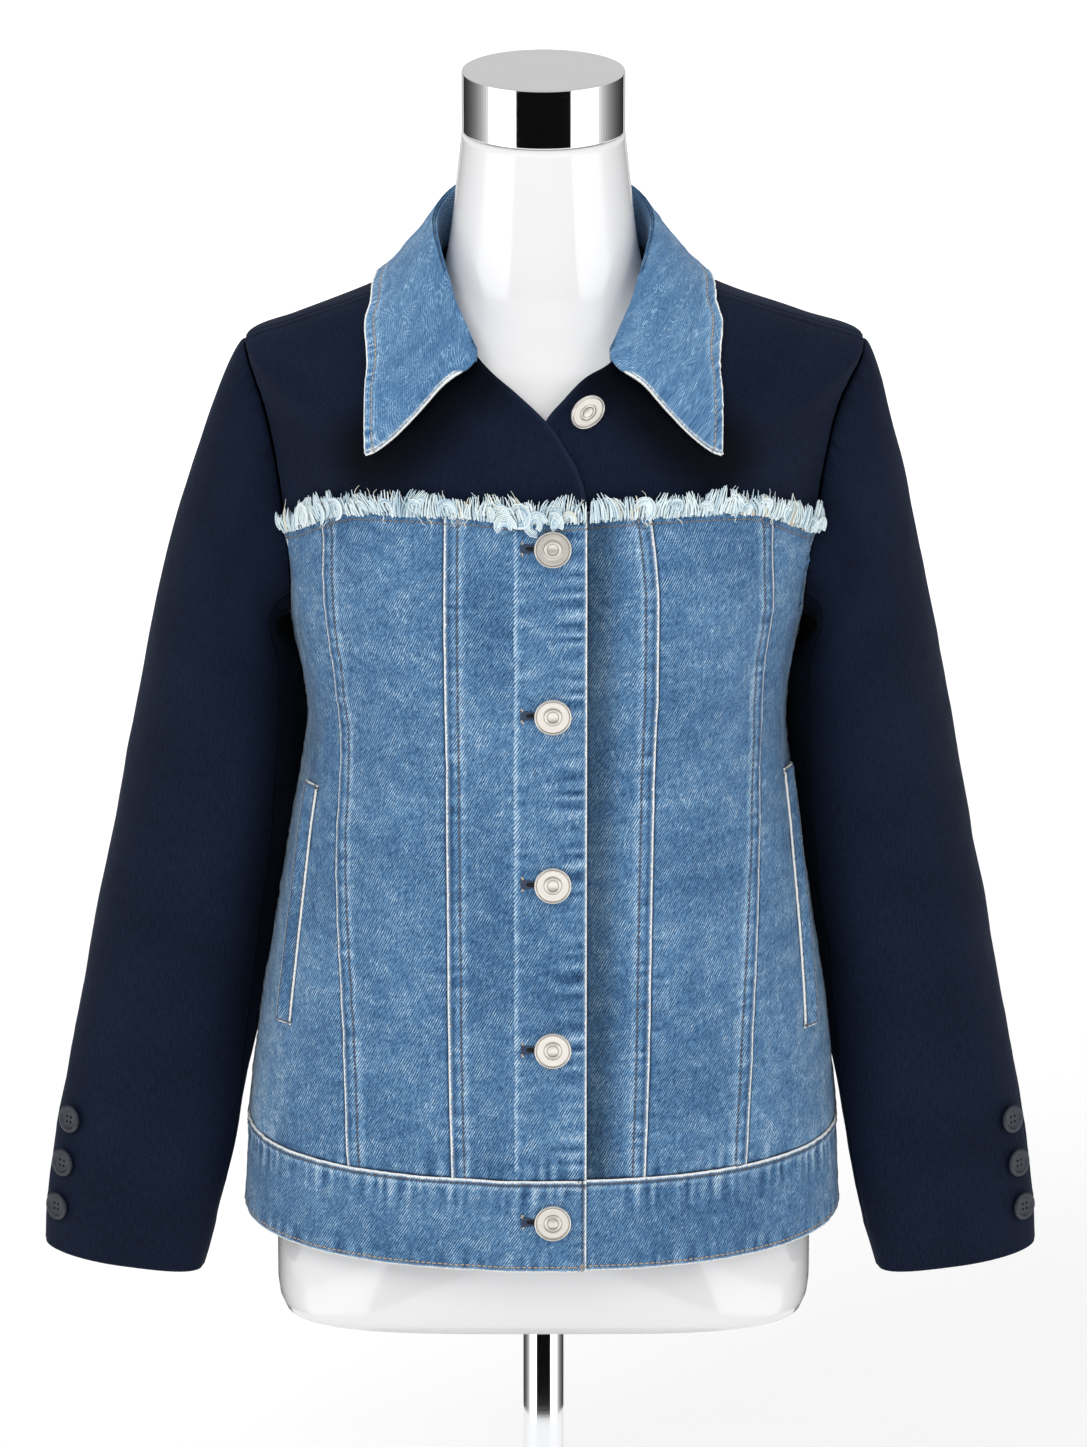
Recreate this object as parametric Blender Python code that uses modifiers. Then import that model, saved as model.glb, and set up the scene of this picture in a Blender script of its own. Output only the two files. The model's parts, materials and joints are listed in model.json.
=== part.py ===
"""Cropped denim jacket with suiting yoke and sleeves, worn by a limbless dress form on a round stand.

Origin: the middle of the stand's underside. +Z is up, the jacket's front faces -Y, and the wearer's
left side is at +X. Lengths are in metres and angles in radians.

The jacket's outer face is one surface, torso(angle, level): angle is 0 at the centre front, a quarter
turn at the wearer's left side and half a turn at the centre back; level climbs from the hem to the neck.
Each cut panel is a patch of that surface with its own thickness, and what lies on a panel is the same
surface moved out.
"""

import math
from collections import namedtuple
from functools import lru_cache

import bmesh
import bpy
from mathutils import Matrix, Vector

# ---------------------------------------------------------------- driving sizes
HEM_HEIGHT = 0.327  # hem above the table
CLOTH = 0.0016  # wall of the denim and of the suiting
SEAM_HALF_GAP = 0.0002  # each cut edge stands back this far from its seam line
YOKE_HALF_GAP = 0.0004  # more where walls meet at an angle, on the shoulders and the sleeves
SLEEVE_HALF_GAP = 0.0008
LAY_GAP = 0.0005  # air between a panel and what lies on it
COLLAR_GAP = 0.0028  # air under the turned-down collar
LAP = CLOTH + LAY_GAP  # how far the lapped front stands out over the front below it

BAND_TOP = 0.057  # levels of the ring lines that are seams
YOKE = 0.468
UNDERARM = 0.385
SHOULDER_TIP = 0.583
NECK = 0.718
ROWS = 15  # rows of facets from the waistband to the yoke

PLACKET_SEAM = -0.017  # x of the stitched edge of the buttonhole strip
FRONT_EDGE = 0.0255  # x of the free edge of the lapped front
UNDER_EDGE = -0.014  # x where the covered front ends
LAP_START = -0.045  # x where the lapped front begins to stand out

BUTTON_X = 0.0055
BUTTON_HEIGHTS = (0.0320, 0.1405, 0.2430, 0.3480, 0.4510)  # above the hem
OPEN_BUTTON = (0.0255, 0.529)  # x and height above the hem of the button left undone
BUTTON_DIAMETER = 0.022
CUFF_BUTTON_DIAMETER = 0.0165
CUFF_BUTTON_PITCH = 0.028
CUFF_BUTTON_HEIGHT = -0.004  # ring of the lowest one, above the hem
CUFF_BUTTON_TURN = math.radians(32)
CUFF_BUTTON_SEATS = (-0.0005, 0.0003, 0.0001)  # underside of each from the sleeve's rings, lowest first

FRAY_REACH = 0.015  # height of the frayed raw edge over the yoke seam
FRAY_DEPTH = 0.0025
WELT_WIDTH = 0.009

CAP_RADIUS, CAP_HEIGHT = 0.048, 0.033
CAP_BASE = 0.676  # above the hem
FORM_BOTTOM = -0.061  # above the hem
POLE_RADIUS = 0.0125
BASE_RADIUS, BASE_THICK = 0.150, 0.008

# Sections of the jacket: level; half width; depth in front and behind; x and y of the middle; heights
# above the hem at the sides, the centre front and the centre back; and how square the section is.
Ring = namedtuple("Ring", "level half front back shift mid side_z front_z back_z square")
JACKET = (
    Ring(0.000, 0.1810, 0.124, 0.115, -0.0009, 0.000, 0.000, 0.000, 0.000, 2.25),
    Ring(0.057, 0.1780, 0.122, 0.112, -0.0006, 0.000, 0.057, 0.057, 0.057, 2.25),
    Ring(0.123, 0.1715, 0.120, 0.108, 0.0005, 0.000, 0.123, 0.123, 0.123, 2.25),
    Ring(0.179, 0.1630, 0.118, 0.104, 0.0010, 0.000, 0.179, 0.179, 0.179, 2.25),
    Ring(0.248, 0.1520, 0.115, 0.098, 0.0012, 0.000, 0.248, 0.248, 0.248, 2.25),
    Ring(0.315, 0.1429, 0.114, 0.093, 0.0020, 0.000, 0.315, 0.315, 0.315, 2.25),
    Ring(0.363, 0.1490, 0.115, 0.094, 0.0015, 0.000, 0.359, 0.363, 0.363, 2.25),
    Ring(0.413, 0.1572, 0.117, 0.098, 0.0025, 0.000, 0.397, 0.413, 0.413, 2.25),
    Ring(0.468, 0.1660, 0.114, 0.099, 0.0040, 0.000, 0.437, 0.468, 0.468, 2.25),
    Ring(0.513, 0.1712, 0.109, 0.098, 0.0040, -0.001, 0.480, 0.493, 0.497, 2.25),
    Ring(0.553, 0.1770, 0.103, 0.095, 0.0045, -0.003, 0.519, 0.511, 0.519, 2.2),
    Ring(0.583, 0.1834, 0.097, 0.091, 0.0065, -0.005, 0.5455, 0.524, 0.535, 2.2),
    Ring(0.613, 0.1560, 0.091, 0.086, 0.0045, -0.006, 0.5575, 0.535, 0.550, 2.2),
    Ring(0.653, 0.1190, 0.084, 0.079, 0.0025, -0.006, 0.5695, 0.547, 0.568, 2.15),
    Ring(0.693, 0.0860, 0.076, 0.072, 0.0010, -0.005, 0.5810, 0.556, 0.586, 2.1),
    Ring(0.718, 0.0640, 0.071, 0.067, 0.0000, -0.004, 0.5900, 0.562, 0.599, 2.0),
)
SIDE_DROP = 5.0  # how late a ring line leaves its centre height on the way to the side

# x of the front seams by level, on the wearer's right and left.
Seam = namedtuple("Seam", "level right_outer right_inner left_inner left_outer")
FRONT_SEAMS = (
    Seam(0.057, -0.1168, -0.0541, 0.0601, 0.1210),
    Seam(0.129, -0.1188, -0.0556, 0.0622, 0.1240),
    Seam(0.243, -0.1228, -0.0564, 0.0638, 0.1280),
    Seam(0.313, -0.1198, -0.0568, 0.0650, 0.1285),
    Seam(0.363, -0.1240, -0.0575, 0.0668, 0.1305),
    Seam(0.413, -0.1290, -0.0578, 0.0670, 0.1355),
    Seam(0.468, -0.1300, -0.0572, 0.0623, 0.1343),
)
BACK_SEAM_X = 0.064

# Armhole: a rounded oval in angle and level about the side of the jacket.
ARMHOLE_FRONT, ARMHOLE_BACK = math.radians(22), math.radians(25)
ARMHOLE_SQUARE = 2.4

# Free edges of the fronts, from the collar's front end down to the yoke seam: x and height above the hem.
LAPPED_EDGE = [(-0.0300, 0.5485), (-0.0165, 0.5390), (0.0020, 0.5240), (0.0106, 0.5120),
               (0.0200, 0.4965), (0.0245, 0.4820)]
COVERED_EDGE = [(0.0247, 0.5470), (0.0140, 0.5380), (0.0020, 0.5240), (-0.0060, 0.5030),
                (-0.0110, 0.4830)]

# Pocket welts, top and foot: x and height above the hem.
WELTS = (("right", (-0.1372, 0.282), (-0.1557, 0.134)), ("left", (0.1449, 0.287), (0.1602, 0.130)))

# Sleeve tube, from the cuff to below the armhole: height above the hem, x and y of its middle, width and
# depth.
Tube = namedtuple("Tube", "height x y width depth")
SLEEVE = (
    Tube(-0.033, 0.2535, -0.004, 0.0970, 0.059),
    Tube(-0.002, 0.2485, -0.004, 0.1034, 0.063),
    Tube(0.057, 0.2378, -0.002, 0.1075, 0.070),
    Tube(0.128, 0.2257, 0.001, 0.1050, 0.080),
    Tube(0.179, 0.2177, 0.003, 0.1025, 0.088),
    Tube(0.269, 0.2025, 0.004, 0.0985, 0.098),
    Tube(0.351, 0.1932, 0.004, 0.0866, 0.112),
)
CUFF, SLEEVE_TOP = SLEEVE[0].height, SLEEVE[-1].height
CUFF_SHIFT = -0.002  # both cuffs lie this far towards +X
SLEEVE_LEAN = 0.14  # slope of the sleeve's rings, square to its hang
HEAD_SHARE = 0.36  # share of the sleeve's rows that its head takes
SLEEVE_SEAMS = ((140, 157), (-65, 4))  # front and back seam: degrees at the armhole and at the cuff

# Collar, by share of its half length from a front end to the centre back: angle in degrees and level of
# its neck seam, lean and rise of its stand from there to the fold, angle and level of its outer edge, and
# how late its fall swings round from the one angle to the other.
Fold = namedtuple("Fold", "along neck_angle neck_level lean_x lean_y rise edge_angle edge_level lag")
COLLAR = (
    Fold(0.00, 22.3, 0.6790, -0.001, 0.002, 0.008, 34.6, 0.525, 4.2),
    Fold(0.08, 28.0, 0.6930, -0.001, 0.003, 0.011, 33.6, 0.556, 2.4),
    Fold(0.16, 36.5, 0.7040, -0.001, 0.004, 0.015, 33.6, 0.594, 1.4),
    Fold(0.24, 46.5, 0.7110, -0.001, 0.004, 0.019, 44.0, 0.633, 1.0),
    Fold(0.32, 57.0, 0.7150, -0.002, 0.004, 0.023, 57.0, 0.660, 1.0),
    Fold(0.44, 75.0, 0.7175, -0.002, 0.002, 0.028, 76.0, 0.677, 1.0),
    Fold(0.56, 97.0, 0.7180, -0.003, 0.000, 0.031, 97.0, 0.678, 1.0),
    Fold(0.70, 122.0, 0.7180, -0.003, -0.002, 0.033, 123.0, 0.667, 1.0),
    Fold(0.85, 150.0, 0.7180, -0.002, -0.003, 0.034, 151.0, 0.650, 1.0),
    Fold(1.00, 180.0, 0.7180, 0.000, -0.004, 0.034, 180.0, 0.640, 1.0),
)

# Sections of the dress form, as for the jacket, from its underside to the neck cap.
FORM = (
    Ring(0.000, 0.1430, 0.092, 0.086, 0.000, 0.000, FORM_BOTTOM, FORM_BOTTOM, FORM_BOTTOM, 2.3),
    Ring(0.010, 0.1555, 0.102, 0.096, 0.000, 0.000, -0.056, -0.056, -0.056, 2.3),
    Ring(0.020, 0.1608, 0.106, 0.100, 0.000, 0.000, -0.043, -0.043, -0.043, 2.3),
    Ring(0.060, 0.1622, 0.108, 0.101, 0.000, 0.000, 0.020, 0.020, 0.020, 2.3),
    Ring(0.120, 0.1580, 0.107, 0.098, 0.000, 0.000, 0.100, 0.100, 0.100, 2.3),
    Ring(0.200, 0.1460, 0.103, 0.090, 0.000, 0.000, 0.193, 0.193, 0.193, 2.25),
    Ring(0.290, 0.1305, 0.101, 0.082, 0.000, 0.000, 0.313, 0.313, 0.313, 2.25),
    Ring(0.350, 0.1380, 0.104, 0.085, 0.000, 0.000, 0.373, 0.373, 0.373, 2.25),
    Ring(0.420, 0.1480, 0.106, 0.091, 0.001, 0.000, 0.438, 0.448, 0.448, 2.25),
    Ring(0.480, 0.1530, 0.101, 0.089, 0.003, -0.001, 0.484, 0.487, 0.487, 2.25),
    Ring(0.520, 0.1590, 0.093, 0.085, 0.004, -0.003, 0.5215, 0.509, 0.509, 2.2),
    Ring(0.550, 0.1560, 0.086, 0.081, 0.004, -0.005, 0.5420, 0.521, 0.523, 2.2),
    Ring(0.590, 0.1340, 0.079, 0.074, 0.003, -0.006, 0.5615, 0.531, 0.538, 2.2),
    Ring(0.640, 0.1000, 0.071, 0.067, 0.0015, -0.006, 0.5730, 0.544, 0.557, 2.15),
    Ring(0.672, 0.0740, 0.061, 0.059, 0.0005, -0.004, 0.5815, 0.558, 0.575, 2.1),
    Ring(0.690, 0.0600, 0.056, 0.054, 0.0000, -0.002, 0.5890, 0.578, 0.591, 2.0),
    Ring(0.710, 0.0550, 0.0530, 0.052, 0.0000, -0.001, 0.610, 0.603, 0.613, 2.0),
    Ring(0.740, 0.0515, 0.050, 0.050, 0.0000, 0.000, 0.641, 0.639, 0.643, 2.0),
    Ring(0.780, 0.0480, 0.0475, 0.0475, 0.0000, 0.000, CAP_BASE - 0.0003, CAP_BASE - 0.0003,
         CAP_BASE - 0.0003, 2.0),
)
FORM_STEPS = 28

# name: base colour, roughness, metallic
FINISHES = {
    "denim": ((0.09, 0.24, 0.49), 0.85, 0.0),
    "suiting": ((0.010, 0.017, 0.040), 0.65, 0.0),
    "fray": ((0.58, 0.72, 0.79), 0.95, 0.0),
    "nickel": ((0.52, 0.52, 0.50), 0.35, 1.0),
    "horn": ((0.030, 0.040, 0.065), 0.35, 0.0),
    "form_white": ((0.86, 0.87, 0.88), 0.10, 0.0),
    "chrome": ((0.75, 0.76, 0.78), 0.06, 1.0),
}


# ---------------------------------------------------------------- scene and finishes
def clear_scene():
    for item in list(bpy.data.objects):
        bpy.data.objects.remove(item, do_unlink=True)


def make_finishes():
    made = {}
    for name, (colour, roughness, metallic) in FINISHES.items():
        material = bpy.data.materials.new(name)
        material.use_nodes = True
        shader = material.node_tree.nodes["Principled BSDF"]
        shader.inputs["Base Color"].default_value = (*colour, 1.0)
        shader.inputs["Roughness"].default_value = roughness
        shader.inputs["Metallic"].default_value = metallic
        made[name] = material
    return made


def add_object(name, mesh, finish):
    """Links a mesh as one named piece, shaded smooth, with its finish."""
    item = bpy.data.objects.new(name, mesh)
    collection.objects.link(item)
    mesh.materials.append(finishes[finish])
    mesh.shade_smooth()
    mesh.set_sharp_from_angle(angle=math.radians(40))
    return item


# ---------------------------------------------------------------- curves through short tables
def smooth_between(keys, values, key):
    """Value at key on a smooth curve through (keys, values), which never swings past its rows."""
    last = len(keys) - 1
    key = min(max(key, keys[0]), keys[last])
    row = max(i for i in range(last) if keys[i] <= key) if key > keys[0] else 0
    slopes = [(values[i + 1] - values[i]) / (keys[i + 1] - keys[i]) for i in range(last)]

    def tangent(i):
        if i in (0, last):
            return slopes[min(i, last - 1)]
        before, after = slopes[i - 1], slopes[i]
        return 0.0 if before * after <= 0 else 2 * before * after / (before + after)

    span = keys[row + 1] - keys[row]
    t = (key - keys[row]) / span
    return (
        (2 * t**3 - 3 * t**2 + 1) * values[row]
        + (t**3 - 2 * t**2 + t) * span * tangent(row)
        + (3 * t**2 - 2 * t**3) * values[row + 1]
        + (t**3 - t**2) * span * tangent(row + 1)
    )


@lru_cache(maxsize=None)
def row_at(table, key):
    """The table's row at key, each column read off its own smooth curve."""
    keys = [row[0] for row in table]
    columns = zip(*table)
    return type(table[0])(*(smooth_between(keys, column, key) for column in columns))


def smoothstep(start, end, value):
    t = min(max((value - start) / (end - start), 0.0), 1.0)
    return t * t * (3 - 2 * t)


# ---------------------------------------------------------------- the body surface
def ring_point(ring, angle):
    sine, cosine = math.sin(angle), math.cos(angle)
    reach = (abs(sine) ** ring.square + abs(cosine) ** ring.square) ** (-1 / ring.square)
    depth, centre_z = (ring.front, ring.front_z) if cosine > 0 else (ring.back, ring.back_z)
    height = ring.side_z + (centre_z - ring.side_z) * (1 - abs(sine) ** SIDE_DROP)
    return Vector((ring.shift + ring.half * reach * sine, ring.mid - depth * reach * cosine, HEM_HEIGHT + height))


def torso(angle, level):
    return ring_point(row_at(JACKET, level), angle)


def torso_normal(angle, level):
    step = 1e-3
    around = torso(angle + step, level) - torso(angle - step, level)
    up = torso(angle, min(level + step, NECK)) - torso(angle, level - step)
    return around.cross(up).normalized()


def angle_of(x, level, front=True):
    """Angle at which the ring line at this level has this x, in front or behind."""
    ring = row_at(JACKET, level)
    part = min(abs(x - ring.shift) / ring.half, 1.0)
    other = (1 - part**ring.square) ** (1 / ring.square)
    angle = math.copysign(math.atan2(part, other), x - ring.shift)
    return angle if front else math.copysign(math.pi, angle) - angle


def on_torso(x, height, front=True):
    """(angle, level) of the point of the surface with this x and this height above the hem."""
    low, high = 0.0, NECK
    for _ in range(40):
        level = (low + high) / 2
        angle = angle_of(x, level, front)
        if torso(angle, level).z - HEM_HEIGHT < height and row_at(JACKET, level).half > abs(x):
            low = level
        else:
            high = level
    return angle_of(x, low, front), low


def lift_of(x):
    """How far the lapped front stands out at this x."""
    return LAP * smoothstep(LAP_START, PLACKET_SEAM - 0.004, x)


def armhole_angle(level, side, back=False):
    """Angle of the armhole's front or back edge at a level between the underarm and the shoulder tip."""
    middle, reach = (UNDERARM + SHOULDER_TIP) / 2, (SHOULDER_TIP - UNDERARM) / 2
    part = min(abs(level - middle) / reach, 1.0)
    width = (1 - part**ARMHOLE_SQUARE) ** (1 / ARMHOLE_SQUARE)
    spread = width * (ARMHOLE_BACK if back else -ARMHOLE_FRONT)
    return side * (math.pi / 2 + spread)


# ---------------------------------------------------------------- patches
def route(points):
    """Path through (angle, level) points, read by its share of the length, for 0 to 1."""
    places = [torso(*point) for point in points]
    marks = [0.0]
    for before, after in zip(places, places[1:]):
        marks.append(marks[-1] + (after - before).length)

    def at(share):
        mark = min(max(share, 0.0), 1.0) * marks[-1]
        row = max(i for i in range(len(marks) - 1) if marks[i] <= mark + 1e-12)
        t = (mark - marks[row]) / (marks[row + 1] - marks[row])
        return tuple(a + (b - a) * t for a, b in zip(points[row], points[row + 1]))

    return at


def levels(low, high, count=24):
    return [low + (high - low) * i / count for i in range(count + 1)]


def seam_path(name, low=BAND_TOP, high=YOKE):
    """Path up a front seam."""
    return route([(angle_of(getattr(row_at(FRONT_SEAMS, k), name), k), k) for k in levels(low, high)])


def x_path(x, low, high, front=True):
    return route([(angle_of(x, k, front), k) for k in levels(low, high)])


def angle_path(angle, low, high):
    return route([(angle, k) for k in levels(low, high)])


def level_path(level, start, end):
    return route([(start + (end - start) * i / 24, level) for i in range(25)])


def armhole_path(low, high, side, back=False):
    """Path up the armhole's edge, by even turns of its oval."""
    middle, reach = (UNDERARM + SHOULDER_TIP) / 2, (SHOULDER_TIP - UNDERARM) / 2
    first, last = (math.asin(round((level - middle) / reach, 9)) for level in (low, high))

    def at(share):
        level = middle + reach * math.sin(first + (last - first) * share)
        return armhole_angle(level, side, back), level

    return at


def joined(first, second, share):
    """One path made of two, with the first taking this share."""
    return lambda s: first(s / share) if s < share else second((s - share) / (1 - share))


def reverse(path):
    return lambda s: path(1 - s)


def coons(bottom, top, start, end):
    """Patch between four paths: bottom and top run from the start path to the end path."""
    corners = bottom(0), bottom(1), top(0), top(1)

    def at(u, v):
        return tuple(
            (1 - v) * bottom(u)[i] + v * top(u)[i] + (1 - u) * start(v)[i] + u * end(v)[i]
            - (1 - u) * (1 - v) * corners[0][i] - u * (1 - v) * corners[1][i]
            - (1 - u) * v * corners[2][i] - u * v * corners[3][i]
            for i in range(2)
        )

    return at


def on_surface(patch, lift=lambda x: 0.0, out=0.0):
    """Turns a patch of angles and levels into points of the torso, moved out."""
    def at(u, v):
        angle, level = patch(u, v)
        point = torso(angle, level)
        return point + torso_normal(angle, level) * (lift(point.x) + out)

    return at


def inset(place, u, v, gap):
    """The point at (u, v), moved in from each border that it lies on."""
    step = 1e-3
    point = place(u, v)
    move = Vector()
    along_u = place(min(u + step, 1), v) - place(max(u - step, 0), v)
    along_v = place(u, min(v + step, 1)) - place(u, max(v - step, 0))
    for share, inward, border in ((u, along_u, along_v), (v, along_v, along_u)):
        if 1e-9 < share < 1 - 1e-9:
            continue
        across = inward - inward.project(border)
        move += across.normalized() * (gap if share < 0.5 else -gap)
    return point + move


def sheet(name, finish, place, across, up, thick=CLOTH, gap=SEAM_HALF_GAP, outward=False, flip=False):
    """A cut piece: a grid laid by place(u, v) whose wall grows inward, or outward for a trim."""
    shape = bmesh.new()
    bmesh.ops.create_grid(shape, x_segments=across, y_segments=up, size=0.5)
    for vert in shape.verts:
        vert.co = inset(place, vert.co.x + 0.5, vert.co.y + 0.5, gap)
    if flip:
        bmesh.ops.reverse_faces(shape, faces=shape.faces)
    mesh = bpy.data.meshes.new(name)
    shape.to_mesh(mesh)
    shape.free()
    item = add_object(name, mesh, finish)
    wall = item.modifiers.new("wall", "SOLIDIFY")
    wall.thickness = thick
    wall.offset = 1.0 if outward else -1.0
    wall.use_even_offset = True
    return item


# ---------------------------------------------------------------- denim panels and waistband
def front_side_top(side, outer_x):
    """Top border of a front side panel: along the yoke seam, then down the armhole to the side seam."""
    corner = armhole_angle(YOKE, side)
    along_yoke = level_path(YOKE, angle_of(outer_x, YOKE), corner)
    down_armhole = reverse(armhole_path(UNDERARM, YOKE, side))
    return joined(along_yoke, down_armhole, 0.3)


def back_side_top(side):
    corner = armhole_angle(YOKE, side, back=True)
    up_armhole = armhole_path(UNDERARM, YOKE, side, back=True)
    along_yoke = level_path(YOKE, corner, angle_of(side * BACK_SEAM_X, YOKE, front=False))
    return joined(up_armhole, along_yoke, 0.45)


def build_fronts():
    band, top = row_at(FRONT_SEAMS, BAND_TOP), row_at(FRONT_SEAMS, YOKE)

    def strip(name, start, end, start_x, end_x, across, lift=lambda x: 0.0):
        bottom = level_path(BAND_TOP, angle_of(start_x[0], BAND_TOP), angle_of(end_x[0], BAND_TOP))
        upper = level_path(YOKE, angle_of(start_x[1], YOKE), angle_of(end_x[1], YOKE))
        sheet(name, "denim", on_surface(coons(bottom, upper, start, end), lift), across, ROWS)

    strip("front_middle_right", seam_path("right_outer"), seam_path("right_inner"),
          (band.right_outer, top.right_outer), (band.right_inner, top.right_inner), 4)
    strip("front_centre_right", seam_path("right_inner"), x_path(PLACKET_SEAM, BAND_TOP, YOKE),
          (band.right_inner, top.right_inner), (PLACKET_SEAM, PLACKET_SEAM), 3, lift_of)
    strip("placket", x_path(PLACKET_SEAM, BAND_TOP, YOKE), x_path(FRONT_EDGE, BAND_TOP, YOKE),
          (PLACKET_SEAM, PLACKET_SEAM), (FRONT_EDGE, FRONT_EDGE), 4, lift_of)
    strip("front_centre_left", x_path(UNDER_EDGE, BAND_TOP, YOKE), seam_path("left_inner"),
          (UNDER_EDGE, UNDER_EDGE), (band.left_inner, top.left_inner), 5)
    strip("front_middle_left", seam_path("left_inner"), seam_path("left_outer"),
          (band.left_inner, top.left_inner), (band.left_outer, top.left_outer), 4)

    for word, side, low_x, high_x in (("right", -1, band.right_outer, top.right_outer),
                                      ("left", 1, band.left_outer, top.left_outer)):
        patch = coons(
            level_path(BAND_TOP, angle_of(low_x, BAND_TOP), side * math.pi / 2),
            front_side_top(side, high_x),
            seam_path(word + "_outer"),
            angle_path(side * math.pi / 2, BAND_TOP, UNDERARM),
        )
        sheet("front_side_" + word, "denim", on_surface(patch), 7, ROWS, flip=side < 0)


def build_backs():
    for word, side in (("right", -1), ("left", 1)):
        patch = coons(
            level_path(BAND_TOP, side * math.pi / 2, angle_of(side * BACK_SEAM_X, BAND_TOP, False)),
            back_side_top(side),
            angle_path(side * math.pi / 2, BAND_TOP, UNDERARM),
            x_path(side * BACK_SEAM_X, BAND_TOP, YOKE, front=False),
        )
        sheet("back_side_" + word, "denim", on_surface(patch), 7, ROWS, flip=side < 0)

    def centre(u, v):
        level = BAND_TOP + (YOKE - BAND_TOP) * v
        start = angle_of(BACK_SEAM_X, level, front=False)
        end = 2 * math.pi + angle_of(-BACK_SEAM_X, level, front=False)
        return start + (end - start) * u, level

    sheet("back_centre", "denim", on_surface(centre), 6, ROWS)


def build_waistband():
    def band(name, start_at, end_at, across, lift=lambda x: 0.0):
        def patch(u, v):
            level = BAND_TOP * v
            start, end = start_at(level), end_at(level)
            return start + (end - start) * u, level

        sheet(name, "denim", on_surface(patch, lift), across, 2)

    band("waistband_right", lambda k: -math.pi / 2, lambda k: angle_of(FRONT_EDGE, k), 14, lift_of)
    band("waistband_left", lambda k: angle_of(UNDER_EDGE, k), lambda k: math.pi / 2, 12)
    band("waistband_back", lambda k: math.pi / 2, lambda k: 3 * math.pi / 2, 14)


def build_welts():
    """Narrow pocket welts, set slanting on the front side panels."""
    for word, top, foot in WELTS:
        top, foot = on_torso(*top), on_torso(*foot)

        def patch(u, v, top=top, foot=foot):
            angle = foot[0] + (top[0] - foot[0]) * v
            level = foot[1] + (top[1] - foot[1]) * v
            half = 0.5 * WELT_WIDTH / (torso(angle + 0.01, level) - torso(angle, level)).length * 0.01
            return angle + half * (2 * u - 1), level

        place = on_surface(patch, out=LAY_GAP)
        sheet("welt_" + word, "denim", place, 1, 7, thick=0.0014, outward=True)


# ---------------------------------------------------------------- suiting yoke and frayed edge
def build_yoke():
    neck_side = math.pi / 2
    folds = [fold for fold in COLLAR if fold.neck_angle < 90]
    for word, side, edge, foot_x, lift in (("right", -1, LAPPED_EDGE, FRONT_EDGE, lift_of),
                                           ("left", 1, COVERED_EDGE, UNDER_EDGE, lambda x: 0.0)):
        up = [(angle_of(foot_x, YOKE), YOKE)] + [on_torso(x, z) for x, z in reversed(edge)]
        up += [(side * math.radians(fold.neck_angle), fold.neck_level) for fold in folds]
        up.append((side * neck_side, NECK))
        patch = coons(
            level_path(YOKE, up[0][0], armhole_angle(YOKE, side)),
            angle_path(side * neck_side, NECK, SHOULDER_TIP),
            route(up),
            armhole_path(YOKE, SHOULDER_TIP, side),
        )
        sheet("yoke_front_" + word, "suiting", on_surface(patch, lift), 9, 10, gap=YOKE_HALF_GAP,
              flip=side < 0)

    left, right = math.pi / 2, 3 * math.pi / 2
    shoulder_left = angle_path(left, SHOULDER_TIP, NECK)
    shoulder_right = angle_path(right, NECK, SHOULDER_TIP)
    neckline = level_path(NECK, left, right)
    top = joined(shoulder_left, joined(neckline, shoulder_right, 0.5), 1 / 3)
    start = armhole_angle(YOKE, 1, back=True)
    end = 2 * math.pi + armhole_angle(YOKE, -1, back=True)

    def right_armhole(v):
        angle, level = armhole_path(YOKE, SHOULDER_TIP, -1, back=True)(v)
        return 2 * math.pi + angle, level

    patch = coons(level_path(YOKE, start, end), top,
                  armhole_path(YOKE, SHOULDER_TIP, 1, back=True), right_armhole)
    sheet("yoke_back", "suiting", on_surface(patch), 16, 8, gap=YOKE_HALF_GAP)


def build_fray():
    """The raw edge of the denim, frayed up over the yoke: a plain strip of its reach."""
    def strip(name, start_at, end_at, across, lift=lambda x: 0.0):
        def patch(u, v):
            level = YOKE - 0.002 + (FRAY_REACH + 0.002) * v
            return start_at(level) + (end_at(level) - start_at(level)) * u, level

        place = on_surface(patch, lift, LAY_GAP)
        sheet(name, "fray", place, across, 2, thick=FRAY_DEPTH, outward=True)

    strip("fray_right", lambda k: armhole_angle(max(k, YOKE), -1) + 0.01,
          lambda k: angle_of(FRONT_EDGE - 0.001, k), 16, lift_of)
    strip("fray_left", lambda k: angle_of(FRONT_EDGE + 0.002, k),
          lambda k: armhole_angle(max(k, YOKE), 1) - 0.01, 12)
    strip("fray_back", lambda k: armhole_angle(max(k, YOKE), 1, True) + 0.01,
          lambda k: 2 * math.pi + armhole_angle(max(k, YOKE), -1, True) - 0.01, 18)


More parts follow.
